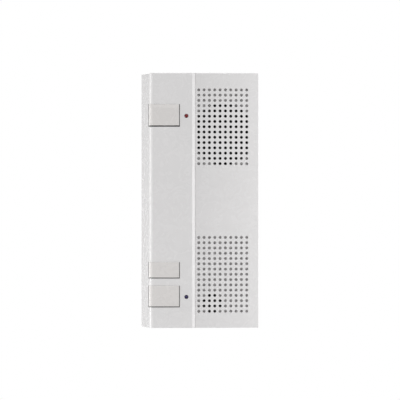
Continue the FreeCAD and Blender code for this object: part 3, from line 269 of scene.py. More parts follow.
def board_track_group():
    """Copper under solder mask: runs of parallel tracks in square fields, and round via pads."""
    group, given, made, place = new_group(
        "board_tracks", [("Field", 110.0), ("Track", 900.0)], ["Track", "Pad", "Height"])
    parts = add_node(group, "ShaderNodeSeparateXYZ")
    wire(group, place, parts.inputs[0])
    across = parts.outputs["X"]
    along = parts.outputs["Z"]
    cell_x = math_node(group, "FLOOR", math_node(group, "MULTIPLY", across, given["Field"]))
    cell_z = math_node(group, "FLOOR", math_node(group, "MULTIPLY", along, given["Field"]))
    cell = add_node(group, "ShaderNodeCombineXYZ")
    wire(group, cell_x, cell.inputs["X"])
    wire(group, cell_z, cell.inputs["Y"])
    choice = add_node(group, "ShaderNodeTexWhiteNoise", noise_dimensions="2D")
    wire(group, cell.outputs[0], choice.inputs["Vector"])
    upright = math_node(group, "GREATER_THAN", choice.outputs["Value"], 0.5)
    again = math_node(group, "FRACT", math_node(group, "MULTIPLY", choice.outputs["Value"], 7.0))
    used = math_node(group, "LESS_THAN", again, FIELDS_WITH_TRACKS)
    stripe_x = math_node(group, "FRACT", math_node(group, "MULTIPLY", across, given["Track"]))
    stripe_z = math_node(group, "FRACT", math_node(group, "MULTIPLY", along, given["Track"]))
    line_x = math_node(group, "LESS_THAN", stripe_x, TRACK_SHARE)
    line_z = math_node(group, "LESS_THAN", stripe_z, TRACK_SHARE)
    picked_x = math_node(group, "MULTIPLY", line_x, upright)
    picked_z = math_node(group, "MULTIPLY", line_z, math_node(group, "SUBTRACT", 1.0, upright))
    track = math_node(group, "MULTIPLY", math_node(group, "ADD", picked_x, picked_z), used)
    wire(group, track, made["Track"])
    dots = add_node(group, "ShaderNodeTexVoronoi", feature="F1")
    dots.inputs["Scale"].default_value = 210.0
    dots.inputs["Randomness"].default_value = 0.55
    wire(group, place, dots.inputs["Vector"])
    wire(group, math_node(group, "LESS_THAN", dots.outputs["Distance"], VIA_REACH), made["Pad"])
    wire(group, math_node(group, "MULTIPLY", track, 0.6), made["Height"])
    return group


GROUP_MAKERS = {
    "moulded_grain": moulded_grain_group,
    "drawn_metal": drawn_metal_group,
    "fibre": fibre_group,
    "board_tracks": board_track_group,
}


def place_group(tree, name, **values):
    """One of the shared groups, built the first time that it is asked for."""
    group = bpy.data.node_groups.get(name) or GROUP_MAKERS[name]()
    node = add_node(tree, "ShaderNodeGroup", node_tree=group)
    for label, value in values.items():
        node.inputs[label.replace("_", " ")].default_value = value
    return node.outputs


def start_material(name):
    finish = bpy.data.materials.new(name)
    finish.use_nodes = True
    tree = finish.node_tree
    return finish, tree, tree.nodes["Principled BSDF"]


def bump(tree, shader, height, depth, strength=1.0):
    node = add_node(tree, "ShaderNodeBump")
    node.inputs["Strength"].default_value = strength
    node.inputs["Distance"].default_value = depth
    wire(tree, height, node.inputs["Height"])
    wire(tree, node.outputs["Normal"], shader.inputs["Normal"])


def darker(colour, share):
    return tuple(channel * share for channel in colour)


# Finishes

def moulded_plastic(name, colour, roughness=0.45, grain=0.35, depth=0.012, shade=0.965, gloss=0.5):
    finish, tree, shader = start_material(name)
    detail = place_group(tree, "moulded_grain", Grain_Scale=1.0 / (grain * MM))
    wire(tree, mix_colour(tree, detail["Mottle"], colour, darker(colour, shade)), shader.inputs["Base Color"])
    rough = spread(tree, detail["Marks"], 0.0, 1.0, roughness - 0.03, roughness + 0.05)
    wire(tree, rough, shader.inputs["Roughness"])
    shader.inputs["Specular IOR Level"].default_value = gloss
    bump(tree, shader, detail["Height"], depth * MM)
    return finish


def plated_metal(name, colour, roughness=0.3, scale=900.0, tarnish=0.8, depth=0.006):
    finish, tree, shader = start_material(name)
    detail = place_group(tree, "drawn_metal", Streak_Scale=scale)
    tarnished = mix_colour(tree, detail["Tarnish"], colour, darker(colour, tarnish))
    wire(tree, tarnished, shader.inputs["Base Color"])
    wire(tree, spread(tree, detail["Streak"], 0.0, 1.0, roughness - 0.06, roughness + 0.1),
         shader.inputs["Roughness"])
    shader.inputs["Metallic"].default_value = 1.0
    bump(tree, shader, detail["Height"], depth * MM)
    return finish


def painted_steel(name, colour):
    finish, tree, shader = start_material(name)
    detail = place_group(tree, "moulded_grain", Grain_Scale=1600.0)
    wire(tree, mix_colour(tree, detail["Mottle"], colour, darker(colour, 0.7)), shader.inputs["Base Color"])
    wire(tree, spread(tree, detail["Marks"], 0.0, 1.0, 0.3, 0.45), shader.inputs["Roughness"])
    shader.inputs["Coat Weight"].default_value = 0.25
    bump(tree, shader, detail["Height"], 0.02 * MM)
    return finish


def fibrous(name, colour, roughness=0.85, scale=1500.0, depth=0.05, shade=0.6):
    finish, tree, shader = start_material(name)
    detail = place_group(tree, "fibre", Fibre_Scale=scale)
    wire(tree, mix_colour(tree, detail["Blotch"], colour, darker(colour, shade)), shader.inputs["Base Color"])
    wire(tree, spread(tree, detail["Height"], 0.3, 0.7, roughness - 0.12, roughness + 0.1),
         shader.inputs["Roughness"])
    shader.inputs["Specular IOR Level"].default_value = 0.25
    bump(tree, shader, detail["Height"], depth * MM)
    return finish


def soft_rubber(name, colour, roughness=0.55):
    finish, tree, shader = start_material(name)
    detail = place_group(tree, "moulded_grain", Grain_Scale=1900.0, Mottle_Scale=140.0)
    wire(tree, mix_colour(tree, detail["Marks"], colour, darker(colour, 1.9)), shader.inputs["Base Color"])
    wire(tree, spread(tree, detail["Mottle"], 0.0, 1.0, roughness - 0.08, roughness + 0.1),
         shader.inputs["Roughness"])
    shader.inputs["Specular IOR Level"].default_value = 0.35
    bump(tree, shader, detail["Height"], 0.02 * MM)
    return finish


def tinted_lens(name, colour):
    """Clear tinted epoxy with faint flow marks."""
    finish, tree, shader = start_material(name)
    detail = place_group(tree, "moulded_grain", Grain_Scale=1200.0, Mottle_Scale=500.0)
    wire(tree, mix_colour(tree, detail["Mottle"], colour, darker(colour, 0.8)), shader.inputs["Base Color"])
    wire(tree, spread(tree, detail["Marks"], 0.0, 1.0, 0.16, 0.26), shader.inputs["Roughness"])
    shader.inputs["IOR"].default_value = 1.54
    shader.inputs["Specular IOR Level"].default_value = 0.3
    shader.inputs["Transmission Weight"].default_value = 0.3
    bump(tree, shader, detail["Height"], 0.004 * MM)
    return finish


def ferrite(name, colour):
    finish, tree, shader = start_material(name)
    detail = place_group(tree, "moulded_grain", Grain_Scale=3200.0, Mottle_Scale=320.0)
    wire(tree, mix_colour(tree, detail["Mottle"], colour, darker(colour, 1.6)), shader.inputs["Base Color"])
    wire(tree, spread(tree, detail["Marks"], 0.0, 1.0, 0.38, 0.6), shader.inputs["Roughness"])
    shader.inputs["Metallic"].default_value = 0.35
    bump(tree, shader, detail["Height"], 0.03 * MM)
    return finish


def circuit_board_finish(name, colour):
    """Solder mask over tracks, tinned pads, and the bare glass epoxy of the sawn edge."""
    finish, tree, shader = start_material(name)
    tracks = place_group(tree, "board_tracks")
    grain = place_group(tree, "moulded_grain", Grain_Scale=2200.0)
    lit = tuple(min(1.0, channel * 2.1) for channel in colour)
    masked = mix_colour(tree, tracks["Track"], colour, lit)
    padded = mix_colour(tree, tracks["Pad"], masked, (0.62, 0.62, 0.60))
    place = add_node(tree, "ShaderNodeTexCoord").outputs["Object"]
    parts = add_node(tree, "ShaderNodeSeparateXYZ")
    wire(tree, place, parts.inputs[0])
    middle = (BOARD_LOW.y + BOARD_HIGH.y) / 2
    half = (BOARD_HIGH.y - BOARD_LOW.y) / 2
    from_middle = math_node(tree, "ABSOLUTE", math_node(tree, "SUBTRACT", parts.outputs["Y"], middle))
    edge = math_node(tree, "LESS_THAN", from_middle, half - 0.04 * MM)
    wire(tree, mix_colour(tree, edge, padded, (0.42, 0.40, 0.22)), shader.inputs["Base Color"])
    face_rough = spread(tree, grain["Marks"], 0.0, 1.0, 0.25, 0.4)
    wire(tree, math_node(tree, "ADD", face_rough, math_node(tree, "MULTIPLY", edge, 0.4)),
         shader.inputs["Roughness"])
    height = math_node(tree, "ADD", tracks["Height"], math_node(tree, "MULTIPLY", grain["Height"], 0.2))
    bump(tree, shader, height, 0.03 * MM)
    return finish


def two_part(name, node, axis, cut, near_colour, far_colour, near_rough=0.5, far_rough=0.28):
    """Plastic near the node's middle along axis, and bare metal further off than cut, as on a chip's legs."""
    finish, tree, shader = start_material(name)
    grain = place_group(tree, "moulded_grain", Grain_Scale=2600.0, Mottle_Scale=220.0)
    place = add_node(tree, "ShaderNodeTexCoord").outputs["Object"]
    parts = add_node(tree, "ShaderNodeSeparateXYZ")
    wire(tree, place, parts.inputs[0])
    middle = centre_of(node)["XYZ".index(axis)]
    away = math_node(tree, "ABSOLUTE", math_node(tree, "SUBTRACT", parts.outputs[axis], middle))
    far = math_node(tree, "GREATER_THAN", away, cut)
    near = mix_colour(tree, grain["Mottle"], near_colour, darker(near_colour, 0.8))
    wire(tree, mix_colour(tree, far, near, far_colour), shader.inputs["Base Color"])
    step = far_rough - near_rough
    wire(tree, math_node(tree, "ADD", math_node(tree, "MULTIPLY", far, step), near_rough),
         shader.inputs["Roughness"])
    wire(tree, far, shader.inputs["Metallic"])
    bump(tree, shader, grain["Height"], 0.015 * MM)
    return finish


def wound_copper(name, colour):
    """Enamelled turns side by side along the coil's axis, with painted shade darkening the grooves between
    the turns.
    """
    finish, tree, shader = start_material(name)
    place = add_node(tree, "ShaderNodeTexCoord").outputs["Object"]
    turns = add_node(tree, "ShaderNodeTexWave", wave_type="BANDS", bands_direction="Y", wave_profile="SIN")
    turns.inputs["Scale"].default_value = 1400.0
    turns.inputs["Distortion"].default_value = 0.3
    wire(tree, place, turns.inputs["Vector"])
    # painted shade: the wire is coloured darker where the bump height is low, in the grooves between turns
    enamel_with_painted_groove_shade = mix_colour(tree, turns.outputs["Fac"], darker(colour, 0.45), colour)
    wire(tree, enamel_with_painted_groove_shade, shader.inputs["Base Color"])
    wire(tree, spread(tree, turns.outputs["Fac"], 0.0, 1.0, 0.4, 0.22), shader.inputs["Roughness"])
    shader.inputs["Metallic"].default_value = 0.9
    bump(tree, shader, turns.outputs["Fac"], 0.05 * MM)
    return finish


def printed_label(name, colour):
    """Blank satin film with a thin ruled border."""
    finish, tree, shader = start_material(name)
    low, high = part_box("rating_label")
    place = add_node(tree, "ShaderNodeTexCoord").outputs["Object"]
    parts = add_node(tree, "ShaderNodeSeparateXYZ")
    wire(tree, place, parts.inputs[0])
    inset, line = 1.4 * MM, 0.3 * MM
    gaps = []
    for axis, place_of in (("X", 0), ("Z", 2)):
        middle = (low[place_of] + high[place_of]) / 2
        half = (high[place_of] - low[place_of]) / 2 - inset
        away = math_node(tree, "ABSOLUTE", math_node(tree, "SUBTRACT", parts.outputs[axis], middle))
        gaps.append(math_node(tree, "SUBTRACT", half, away))
    inside = math_node(tree, "MINIMUM", gaps[0], gaps[1])
    ruled = math_node(tree, "MULTIPLY", math_node(tree, "GREATER_THAN", inside, 0.0),
                      math_node(tree, "LESS_THAN", inside, line))
    grain = place_group(tree, "moulded_grain", Grain_Scale=1500.0)
    film = mix_colour(tree, grain["Mottle"], colour, darker(colour, 0.97))
    wire(tree, mix_colour(tree, ruled, film, (0.08, 0.08, 0.09)), shader.inputs["Base Color"])
    wire(tree, spread(tree, grain["Marks"], 0.0, 1.0, 0.3, 0.42), shader.inputs["Roughness"])
    return finish


CHIP_LEG = 1.9 * MM             # leg past a chip's body
CAN_TOP = 0.35 * MM             # bare top of a capacitor past its sleeve
TAG_DEPTH = 0.28 * MM           # speaker's tags past their strip


def chip_finish(node):
    low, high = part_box(node)
    body_half = (high.z - low.z) / 2 - CHIP_LEG
    return two_part(node + "_finish", node, "Z", body_half, (0.02, 0.02, 0.022), (0.68, 0.68, 0.66))


def capacitor_finish():
    """Bright scored top and a dark sleeve below it."""
    low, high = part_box("electrolytic_capacitors")
    half = (high.y - low.y) / 2
    return two_part("capacitor_can", "electrolytic_capacitors", "Y", half - CAN_TOP,
                    (0.02, 0.025, 0.05), (0.80, 0.80, 0.80), near_rough=0.35, far_rough=0.25)


def terminal_strip_finish():
    low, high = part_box("speaker_terminals")
    return two_part("speaker_tag_strip", "speaker_terminals", "Y", (high.y - low.y) / 2 - TAG_DEPTH,
                    (0.20, 0.10, 0.04), (0.66, 0.66, 0.62), near_rough=0.55)


CHIPS = {"amplifier_chip", "microcontroller"}
FINISHES = {}


def finish_for(slot, node=None):
    """The material for a slot, made the first time that it is asked for; each chip has its own."""
    key = node if node in CHIPS else slot
    if key not in FINISHES:
        FINISHES[key] = chip_finish(node) if node in CHIPS else make_finish(slot)
    return FINISHES[key]


def make_finish(slot):
    colours = bpy.context.scene.siren_colours
    sizes = bpy.context.scene.siren_sizes
    grain = sizes.grain / MM
    depth = sizes.grain_depth / MM
    makers = {
        "housing_white": lambda: moulded_plastic(slot, tuple(colours.housing), 0.27, grain, depth, 0.985),
        "key_white": lambda: moulded_plastic(slot, tuple(colours.key), 0.27, grain * 1.3, depth * 0.7, 0.985),
        "plate_plastic": lambda: moulded_plastic(slot, tuple(colours.plate), 0.5, grain * 1.6, depth * 2.0),
        "terminal_green": lambda: moulded_plastic(slot, tuple(colours.terminal), 0.4, 0.5, 0.02, 0.8),
        "black_plastic": lambda: moulded_plastic(slot, (0.018, 0.018, 0.02), 0.42, 0.4, 0.015, 0.7),
        "relay_case": lambda: moulded_plastic(slot, (0.62, 0.58, 0.42), 0.3, 0.5, 0.01, 0.93),
        "trimmer_blue": lambda: moulded_plastic(slot, (0.015, 0.09, 0.36), 0.35, 0.45, 0.012, 0.8),
        "trimmer_white": lambda: moulded_plastic(slot, (0.72, 0.72, 0.66), 0.4, 0.5, 0.012),
        "switch_cap": lambda: moulded_plastic(slot, (0.45, 0.03, 0.02), 0.38, 0.4, 0.012, 0.8),
        "connector_white": lambda: moulded_plastic(slot, (0.70, 0.67, 0.55), 0.42, 0.5, 0.012, 0.9),
        "lead_sleeve": lambda: moulded_plastic(slot, (0.40, 0.012, 0.012), 0.32, 0.7, 0.01, 0.8),
        "zinc_steel": lambda: plated_metal(slot, (0.66, 0.66, 0.64), 0.3),
        "stainless_steel": lambda: plated_metal(slot, (0.58, 0.57, 0.56), 0.24, 1400.0, 0.9),
        "nickel_brass": lambda: plated_metal(slot, (0.66, 0.62, 0.52), 0.28),
        "spring_bronze": lambda: plated_metal(slot, (0.72, 0.46, 0.24), 0.26, 700.0),
        "gold_plate": lambda: plated_metal(slot, (0.86, 0.62, 0.24), 0.22, 1600.0, 0.92, 0.003),
        "pressed_steel": lambda: painted_steel(slot, (0.028, 0.028, 0.03)),
        "ferrite": lambda: ferrite(slot, (0.045, 0.045, 0.05)),
        "black_rubber": lambda: soft_rubber(slot, (0.014, 0.014, 0.015), 0.6),
        "surround_rubber": lambda: soft_rubber(slot, (0.012, 0.012, 0.013), 0.42),
        "foam_black": lambda: fibrous(slot, (0.02, 0.02, 0.021), 0.92, 900.0, 0.12, 0.5),
        "cone_paper": lambda: fibrous(slot, tuple(colours.cone), 0.8, 1800.0, 0.035, 0.7),
        "spider_cloth": lambda: fibrous(slot, (0.42, 0.26, 0.09), 0.75, 1300.0, 0.06, 0.7),
        "copper_wire": lambda: wound_copper(slot, (0.62, 0.24, 0.09)),
        "board_green": lambda: circuit_board_finish(slot, tuple(colours.board)),
        "board_brown": terminal_strip_finish,
        "capacitor_can": capacitor_finish,
        "label_film": lambda: printed_label(slot, (0.80, 0.80, 0.77)),
        "lens_red": lambda: tinted_lens(slot, tuple(colours.red_lens)),
        "lens_blue": lambda: tinted_lens(slot, tuple(colours.blue_lens)),
    }
    return makers[slot]()


# Modelling helpers

def deselect_all():
    if bpy.context.mode != "OBJECT":
        bpy.ops.object.mode_set(mode="OBJECT")
    bpy.ops.object.select_all(action="DESELECT")


def settle(piece, smooth_angle=35.0):
    """Puts the object at the origin with its place in its mesh, and shades it."""
    deselect_all()
    piece.select_set(True)
    bpy.context.view_layer.objects.active = piece
    bpy.ops.object.transform_apply(location=True, rotation=True, scale=True)
    bpy.ops.object.shade_smooth_by_angle(angle=math.radians(smooth_angle))
    return piece


def hand_over(piece, name, body, slot, stands_for=()):
    """Names a finished piece, gives it its finish and puts it on its body."""
    piece.name = name
    piece.data.name = name
    if not piece.data.materials:
        piece.data.materials.append(finish_for(slot))
    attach(piece, body)
    if stands_for:
        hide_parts(*stands_for)
    return piece


def select_where(piece, test):
    """In edit mode, selects just the vertices whose place passes the test."""
    mesh = bmesh.from_edit_mesh(piece.data)
    for vertex in mesh.verts:
        vertex.select_set(test(vertex.co))
    mesh.select_flush(True)
    bmesh.update_edit_mesh(piece.data)


def lathe(profile, x, z, segments=64, closed=True):
    """A turned piece about the line through x, z along Y, drawn out ring by ring from (radius, y) points.

    A closed profile makes a ring; an open one has its two ends drawn in to points."""
    deselect_all()
    radius, y = profile[0]
    bpy.ops.mesh.primitive_circle_add(vertices=segments, radius=radius, location=(x, y, z),
                                      rotation=(math.pi / 2, 0, 0))
    piece = bpy.context.object
    bpy.ops.object.transform_apply(location=True, rotation=True, scale=True)
    bpy.ops.object.mode_set(mode="EDIT")
    bpy.ops.mesh.select_mode(type="VERT")
    bpy.ops.mesh.select_all(action="SELECT")
    stops = profile[1:] + ([profile[0]] if closed else [])
    for next_radius, next_y in stops:
        bpy.ops.mesh.extrude_region_move(TRANSFORM_OT_translate={"value": (0, next_y - y, 0)})
        grow = next_radius / radius
        bpy.ops.transform.resize(value=(grow, 1, grow), center_override=(x, next_y, z))
        radius, y = next_radius, next_y
    if closed:
        bpy.ops.mesh.select_all(action="SELECT")
        bpy.ops.mesh.remove_doubles(threshold=TINY / 10)
    else:
        for end_y in (profile[0][1], profile[-1][1]):
            select_where(piece, lambda co: abs(co.y - end_y) < TINY / 10
                         and math.hypot(co.x - x, co.z - z) < 2 * TINY)
            bpy.ops.mesh.merge(type="CENTER")
    bpy.ops.mesh.select_all(action="SELECT")
    bpy.ops.mesh.normals_make_consistent(inside=False)
    bpy.ops.object.mode_set(mode="OBJECT")
    return piece


def bevelled_block(low, high, width, segments=2):
    """A box between two corners with its edges rounded by an applied bevel."""
    deselect_all()
    bpy.ops.mesh.primitive_cube_add(size=1.0, location=(Vector(low) + Vector(high)) / 2)
    piece = bpy.context.object
    piece.dimensions = Vector(high) - Vector(low)
    bpy.ops.object.transform_apply(location=True, rotation=True, scale=True)
    rounding = piece.modifiers.new("edges", "BEVEL")
    rounding.width = width
    rounding.segments = segments
    bpy.ops.object.modifier_apply(modifier=rounding.name)
    return piece


def copy_to(piece, offset):
    """A copy with its own mesh, moved by offset."""
    twin = piece.copy()
    twin.data = piece.data.copy()
    bpy.context.scene.collection.objects.link(twin)
    twin.location = offset
    return twin


def join_all(pieces):
    deselect_all()
    for piece in pieces:
        piece.select_set(True)
    bpy.context.view_layer.objects.active = pieces[0]
    bpy.ops.object.join()
    whole = bpy.context.object
    bpy.ops.object.transform_apply(location=True, rotation=True, scale=True)
    return whole


# Lamps

LAMP_BODY = 5.3 * MM            # tip of the dome to the back of the flange
LAMP_FLANGE = 1.0 * MM          # flange's thickness
LAMP_RIM = 0.4 * MM             # flange past the barrel
LAMP_CHAMFER = 0.1 * MM
LAMP_FLAT = 0.12 * MM           # flat on the flange's side, past the barrel
LAMP_STEPS = 8                  # rings of the dome
LEAD_SPAN = 0.8 * MM            # each lamp lead from the lamp's axis
LEAD_HALF = 0.24 * MM           # half of a lead's width
POST_HALF = 0.14 * MM           # half of a post's thickness
LEAD_START = 0.5 * MM           # inside the flange


def lamp_lens(node, name, slot):
    """Clear epoxy body: dome, barrel and flange, with the flat on the flange's side."""
    low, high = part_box(node)
    x, z = centre_of(node).x, centre_of(node).z
    flange_r = (high.x - low.x) / 2
    barrel_r = flange_r - LAMP_RIM
    tip = low.y
    flange_back = tip + LAMP_BODY
    flange_front = flange_back - LAMP_FLANGE
    profile = [(TINY, tip)]
    for step in range(1, LAMP_STEPS + 1):
        angle = math.radians(90 * step / LAMP_STEPS)
        profile.append((barrel_r * math.sin(angle), tip + barrel_r * (1 - math.cos(angle))))
    profile += [(barrel_r, flange_front - LAMP_CHAMFER), (barrel_r + LAMP_CHAMFER, flange_front),
                (flange_r - LAMP_CHAMFER, flange_front), (flange_r, flange_front + LAMP_CHAMFER),
                (flange_r, flange_back - LAMP_CHAMFER), (flange_r - LAMP_CHAMFER, flange_back),
                (TINY, flange_back)]
    lens = lathe(profile, x, z, 48, closed=False)
    bpy.ops.object.mode_set(mode="EDIT")
    bpy.ops.mesh.select_all(action="SELECT")
    bpy.ops.mesh.bisect(plane_co=(x + barrel_r + LAMP_FLAT, 0, 0), plane_no=(1, 0, 0),
                        use_fill=True, clear_outer=True)
    bpy.ops.object.mode_set(mode="OBJECT")
    settle(lens)
    return hand_over(lens, name, "front_unit", slot, (node,))


def lamp_frame(node, name):
    """Two tinned leads, one ending in the reflector cup under the dome and one in a slim post."""
    low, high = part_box(node)
    x, z = centre_of(node).x, centre_of(node).z
    base = low.y + LAMP_BODY
    board = high.y
    cup = lathe([(0.22 * MM, base - 2.0 * MM), (0.62 * MM, base - 2.75 * MM), (0.80 * MM, base - 2.75 * MM),
                 (0.80 * MM, base - 2.1 * MM), (0.45 * MM, base - 1.7 * MM), (0.22 * MM, base - 1.7 * MM)],
                x, z, 24)
    parts = [cup]
    for side, reach in ((-1, 1.8 * MM), (1, 2.5 * MM)):
        lead_x = x + side * LEAD_SPAN
        lead = bevelled_block((lead_x - LEAD_HALF, base - LEAD_START, z - LEAD_HALF),
                              (lead_x + LEAD_HALF, board, z + LEAD_HALF), 0.06 * MM, 1)
        post = bevelled_block((lead_x - LEAD_HALF, base - reach, z - POST_HALF),
                              (lead_x + LEAD_HALF, base - LEAD_START, z + POST_HALF), 0.05 * MM, 1)
        parts += [lead, post]
    arm = bevelled_block((x - 1.0 * MM, base - 1.95 * MM, z - POST_HALF),
                         (x + 0.1 * MM, base - 1.70 * MM, z + POST_HALF), 0.05 * MM, 1)
    frame_piece = join_all(parts + [arm])
    settle(frame_piece)
    return hand_over(frame_piece, name, "front_unit", "zinc_steel")


class SIREN_OT_lamps(bpy.types.Operator):
    """Red and blue lamps: clear tinted bodies with the metal cup and leads inside"""

    bl_idname = "siren.lamps"
    bl_label = "Lamps"

    def execute(self, context):
        lamp_lens("red_lamp", "red_lamp_body", "lens_red")
        lamp_lens("blue_lamp", "blue_lamp_body", "lens_blue")
        lamp_frame("red_lamp", "red_lamp_leads")
        lamp_frame("blue_lamp", "blue_lamp_leads")
        return {"FINISHED"}


# Speaker

CONE_RUN = 13.075 * MM          # neck to edge, across
CONE_PAPER = 0.35 * MM          # paper's thickness
CONE_STEPS = 60
CAP_PAPER = 0.24 * MM
CAP_STEPS = 16
ROLL_LIP = 1.7 * MM             # surround's flat lip on the frame
ROLL_GAP = 0.1 * MM             # surround past the cone's edge
ROLL_SKIN = 0.22 * MM
ROLL_BASE = 0.25 * MM           # lip's thickness
ROLL_STEPS = 20
SPIDER_INNER = 7.0 * MM         # outside the coil, clear of the cone at the end of its travel
SPIDER_RIM = 0.9 * MM
SPIDER_CLOTH = 0.24 * MM
SPIDER_WAVE = 0.11 * MM
SPIDER_RISE = 0.8 * MM          # width over which the cloth rises from its inner edge
SPIDER_STEPS = 72
SPIDER_WAVES = 4
GASKET_WIDTH = 1.6 * MM
GASKET_CROWN = 0.12 * MM        # how far its sides bulge
GASKET_STEPS = 8


def between(first, second, share):
    return (first[0] + (second[0] - first[0]) * share, first[1] + (second[1] - first[1]) * share)


class SIREN_OT_speaker_cone(bpy.types.Operator):
    """Pressed paper cone with rings of ribs, and the domed dust cap glued over the coil"""

    bl_idname = "siren.speaker_cone"
    bl_label = "Speaker cone"

    def execute(self, context):
        sizes = context.scene.siren_sizes
        low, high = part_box("speaker_cone")
        edge_r = (high.x - low.x) / 2
        start = (edge_r - CONE_RUN, high.y - CONE_PAPER)
        end = (edge_r, low.y)
        front = []
        for step in range(CONE_STEPS + 1):
            share = step / CONE_STEPS
            radius, y = between(start, end, share)
            ridge = max(0.0, math.sin(math.pi * (0.06 + 0.9 * share) * 2 * (sizes.ribs + 0.5)))
            fade = min(1.0, 6 * share, 6 * (1 - share))
            front.append((radius, y + fade * sizes.cone_rib * ridge ** 2))
        back = [(radius, y + CONE_PAPER * 0.95) for radius, y in reversed(front)]
        cone = lathe(front + back, SPEAKER.x, SPEAKER.z, 96)
        settle(cone, 50)
        hand_over(cone, "speaker_cone_paper", "speaker_diaphragm", "cone_paper", ("speaker_cone",))

        low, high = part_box("dust_cap")
        radius = (high.x - low.x) / 2
        rise = high.y - low.y
        sphere = (radius ** 2 + rise ** 2) / (2 * rise)
        outer = [(TINY, low.y)]
        for step in range(1, CAP_STEPS + 1):
            across = radius * step / CAP_STEPS
            outer.append((across, low.y + sphere - math.sqrt(sphere ** 2 - across ** 2)))
        inner = [(max(TINY, across - CAP_PAPER / 2), y + CAP_PAPER) for across, y in reversed(outer[:-1])]
        rim = [(radius - 0.10 * MM, high.y)]
        cap = lathe(outer + rim + inner, SPEAKER.x, SPEAKER.z, 64, closed=False)
        settle(cap, 50)
        hand_over(cap, "speaker_dust_cap", "speaker_diaphragm", "cone_paper", ("dust_cap",))
        return {"FINISHED"}


class SIREN_OT_speaker_soft_parts(bpy.types.Operator):
    """Rolled rubber surround, corrugated cloth spider and the foam gasket in front of the rim"""

    bl_idname = "siren.speaker_soft_parts"
    bl_label = "Speaker soft parts"

    def execute(self, context):
        self.surround()
        self.spider()
        self.gasket()
        return {"FINISHED"}

    def surround(self):
        low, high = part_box("speaker_surround")
        outer = (high.x - low.x) / 2
        seat = high.y
        lip = outer - ROLL_LIP
        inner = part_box("speaker_cone")[1].x - SPEAKER.x + ROLL_GAP
        middle, roll = (inner + lip) / 2, (lip - inner) / 2
        under = roll - ROLL_SKIN
        angles = [math.pi * step / ROLL_STEPS for step in range(ROLL_STEPS + 1)]
        front = [(middle - roll * math.cos(angle), seat - ROLL_BASE - roll * math.sin(angle))
                 for angle in angles]
        flat = [(lip + 0.15 * MM, seat - ROLL_BASE), (outer - 0.1 * MM, seat - ROLL_BASE),
                (outer, seat - 0.15 * MM), (outer, seat), (lip, seat)]
        back = [(middle - under * math.cos(angle), seat - under * math.sin(angle))
                for angle in reversed(angles)]
        ring = lathe(front + flat + back, SPEAKER.x, SPEAKER.z, 96)
        settle(ring, 50)
        hand_over(ring, "speaker_surround_roll", "front_unit", "surround_rubber", ("speaker_surround",))

    def spider(self):
        low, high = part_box("speaker_spider")
        outer = (high.x - low.x) / 2
        seat = high.y
        front = []
        for step in range(SPIDER_STEPS + 1):
            share = step / SPIDER_STEPS
            radius = SPIDER_INNER + (outer - SPIDER_RIM - SPIDER_INNER) * share
            rise = min(1.0, (radius - SPIDER_INNER) / SPIDER_RISE)
            wave = SPIDER_WAVE * math.sin(2 * math.pi * SPIDER_WAVES * share)
            front.append((radius, seat - 0.28 * MM - rise * (0.16 * MM - wave)))
        rim = [(outer - 0.8 * MM, seat - 0.30 * MM), (outer - 0.05 * MM, seat - 0.30 * MM),
               (outer, seat - 0.25 * MM), (outer, seat), (outer - SPIDER_RIM, seat)]
        back = [(radius, y + SPIDER_CLOTH) for radius, y in reversed(front[:-1])]
        cloth = lathe(front + rim + back, SPEAKER.x, SPEAKER.z, 80)
        settle(cloth, 60)
        hand_over(cloth, "speaker_spider_cloth", "front_unit", "spider_cloth", ("speaker_spider",))

    def gasket(self):
        low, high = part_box("speaker_gasket")
        outer = (high.x - low.x) / 2
        inner = outer - GASKET_WIDTH
        thick = high.y - low.y
        middle = (low.y + high.y) / 2
        profile = []
        for side, edge in ((-1, outer), (1, inner)):
            for step in range(GASKET_STEPS + 1):
                angle = math.radians(side * (90 - 180 * step / GASKET_STEPS))
                bulge = GASKET_CROWN * (1 - math.cos(angle))
                profile.append((edge + side * bulge, middle + thick / 2 * math.sin(angle)))
        ring = lathe(profile, SPEAKER.x, SPEAKER.z, 96)
        settle(ring, 60)
        hand_over(ring, "speaker_foam_gasket", "front_unit", "foam_black", ("speaker_gasket",))


class SIREN_OT_speaker_leads(bpy.types.Operator):
    """Two sleeved wires from the speaker's tags down to the plug"""

    bl_idname = "siren.speaker_leads"
    bl_label = "Speaker leads"

    def execute(self, context):
        radius = context.scene.siren_sizes.lead_radius
        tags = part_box("speaker_terminals")
        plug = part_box("lead_plug")
        tag_y = tags[1].y
        tag_z = tags[0].z
        plug_y = (plug[0].y + plug[1].y) / 2 + 0.2 * MM
        plug_z = plug[1].z
        x = SPEAKER.x
        wires = []
        for side in (-1, 1):
            route = [
                (x + side * 2.0 * MM, tag_y + radius, tag_z + 3.4 * MM),
                (x + side * 2.0 * MM, tag_y + radius + 0.15 * MM, tag_z + 1.0 * MM),
                (x + side * 2.2 * MM, tag_y + radius + 0.3 * MM, tag_z - 2.0 * MM),
                (x + side * 2.4 * MM, plug_y + 0.6 * MM, (tag_z + plug_z) / 2 + 0.4 * MM),
                (x + side * 1.6 * MM, plug_y + 0.1 * MM, plug_z + 3.0 * MM),
                (x + side * 1.5 * MM, plug_y, plug_z + 1.2 * MM),
                (x + side * 1.5 * MM, plug_y, plug_z),
            ]
            deselect_all()
            line = bpy.data.curves.new("lead_line", "CURVE")
            line.dimensions = "3D"
            spline = line.splines.new("NURBS")
            spline.points.add(len(route) - 1)
            for point, place in zip(spline.points, route):
                point.co = (*place, 1.0)
            spline.order_u = 3
            spline.use_endpoint_u = True
            spline.resolution_u = 6
            line.bevel_depth = radius
            line.bevel_resolution = 4
            line.use_fill_caps = True
            wire_piece = bpy.data.objects.new("lead", line)
            bpy.context.scene.collection.objects.link(wire_piece)
            wire_piece.select_set(True)
            bpy.context.view_layer.objects.active = wire_piece
            bpy.ops.object.convert(target="MESH")
            wires.append(bpy.context.object)
        leads = join_all(wires)
        settle(leads, 50)
        hand_over(leads, "speaker_lead_wires", "front_unit", "lead_sleeve", ("speaker_leads",))
        return {"FINISHED"}


# Circuit board

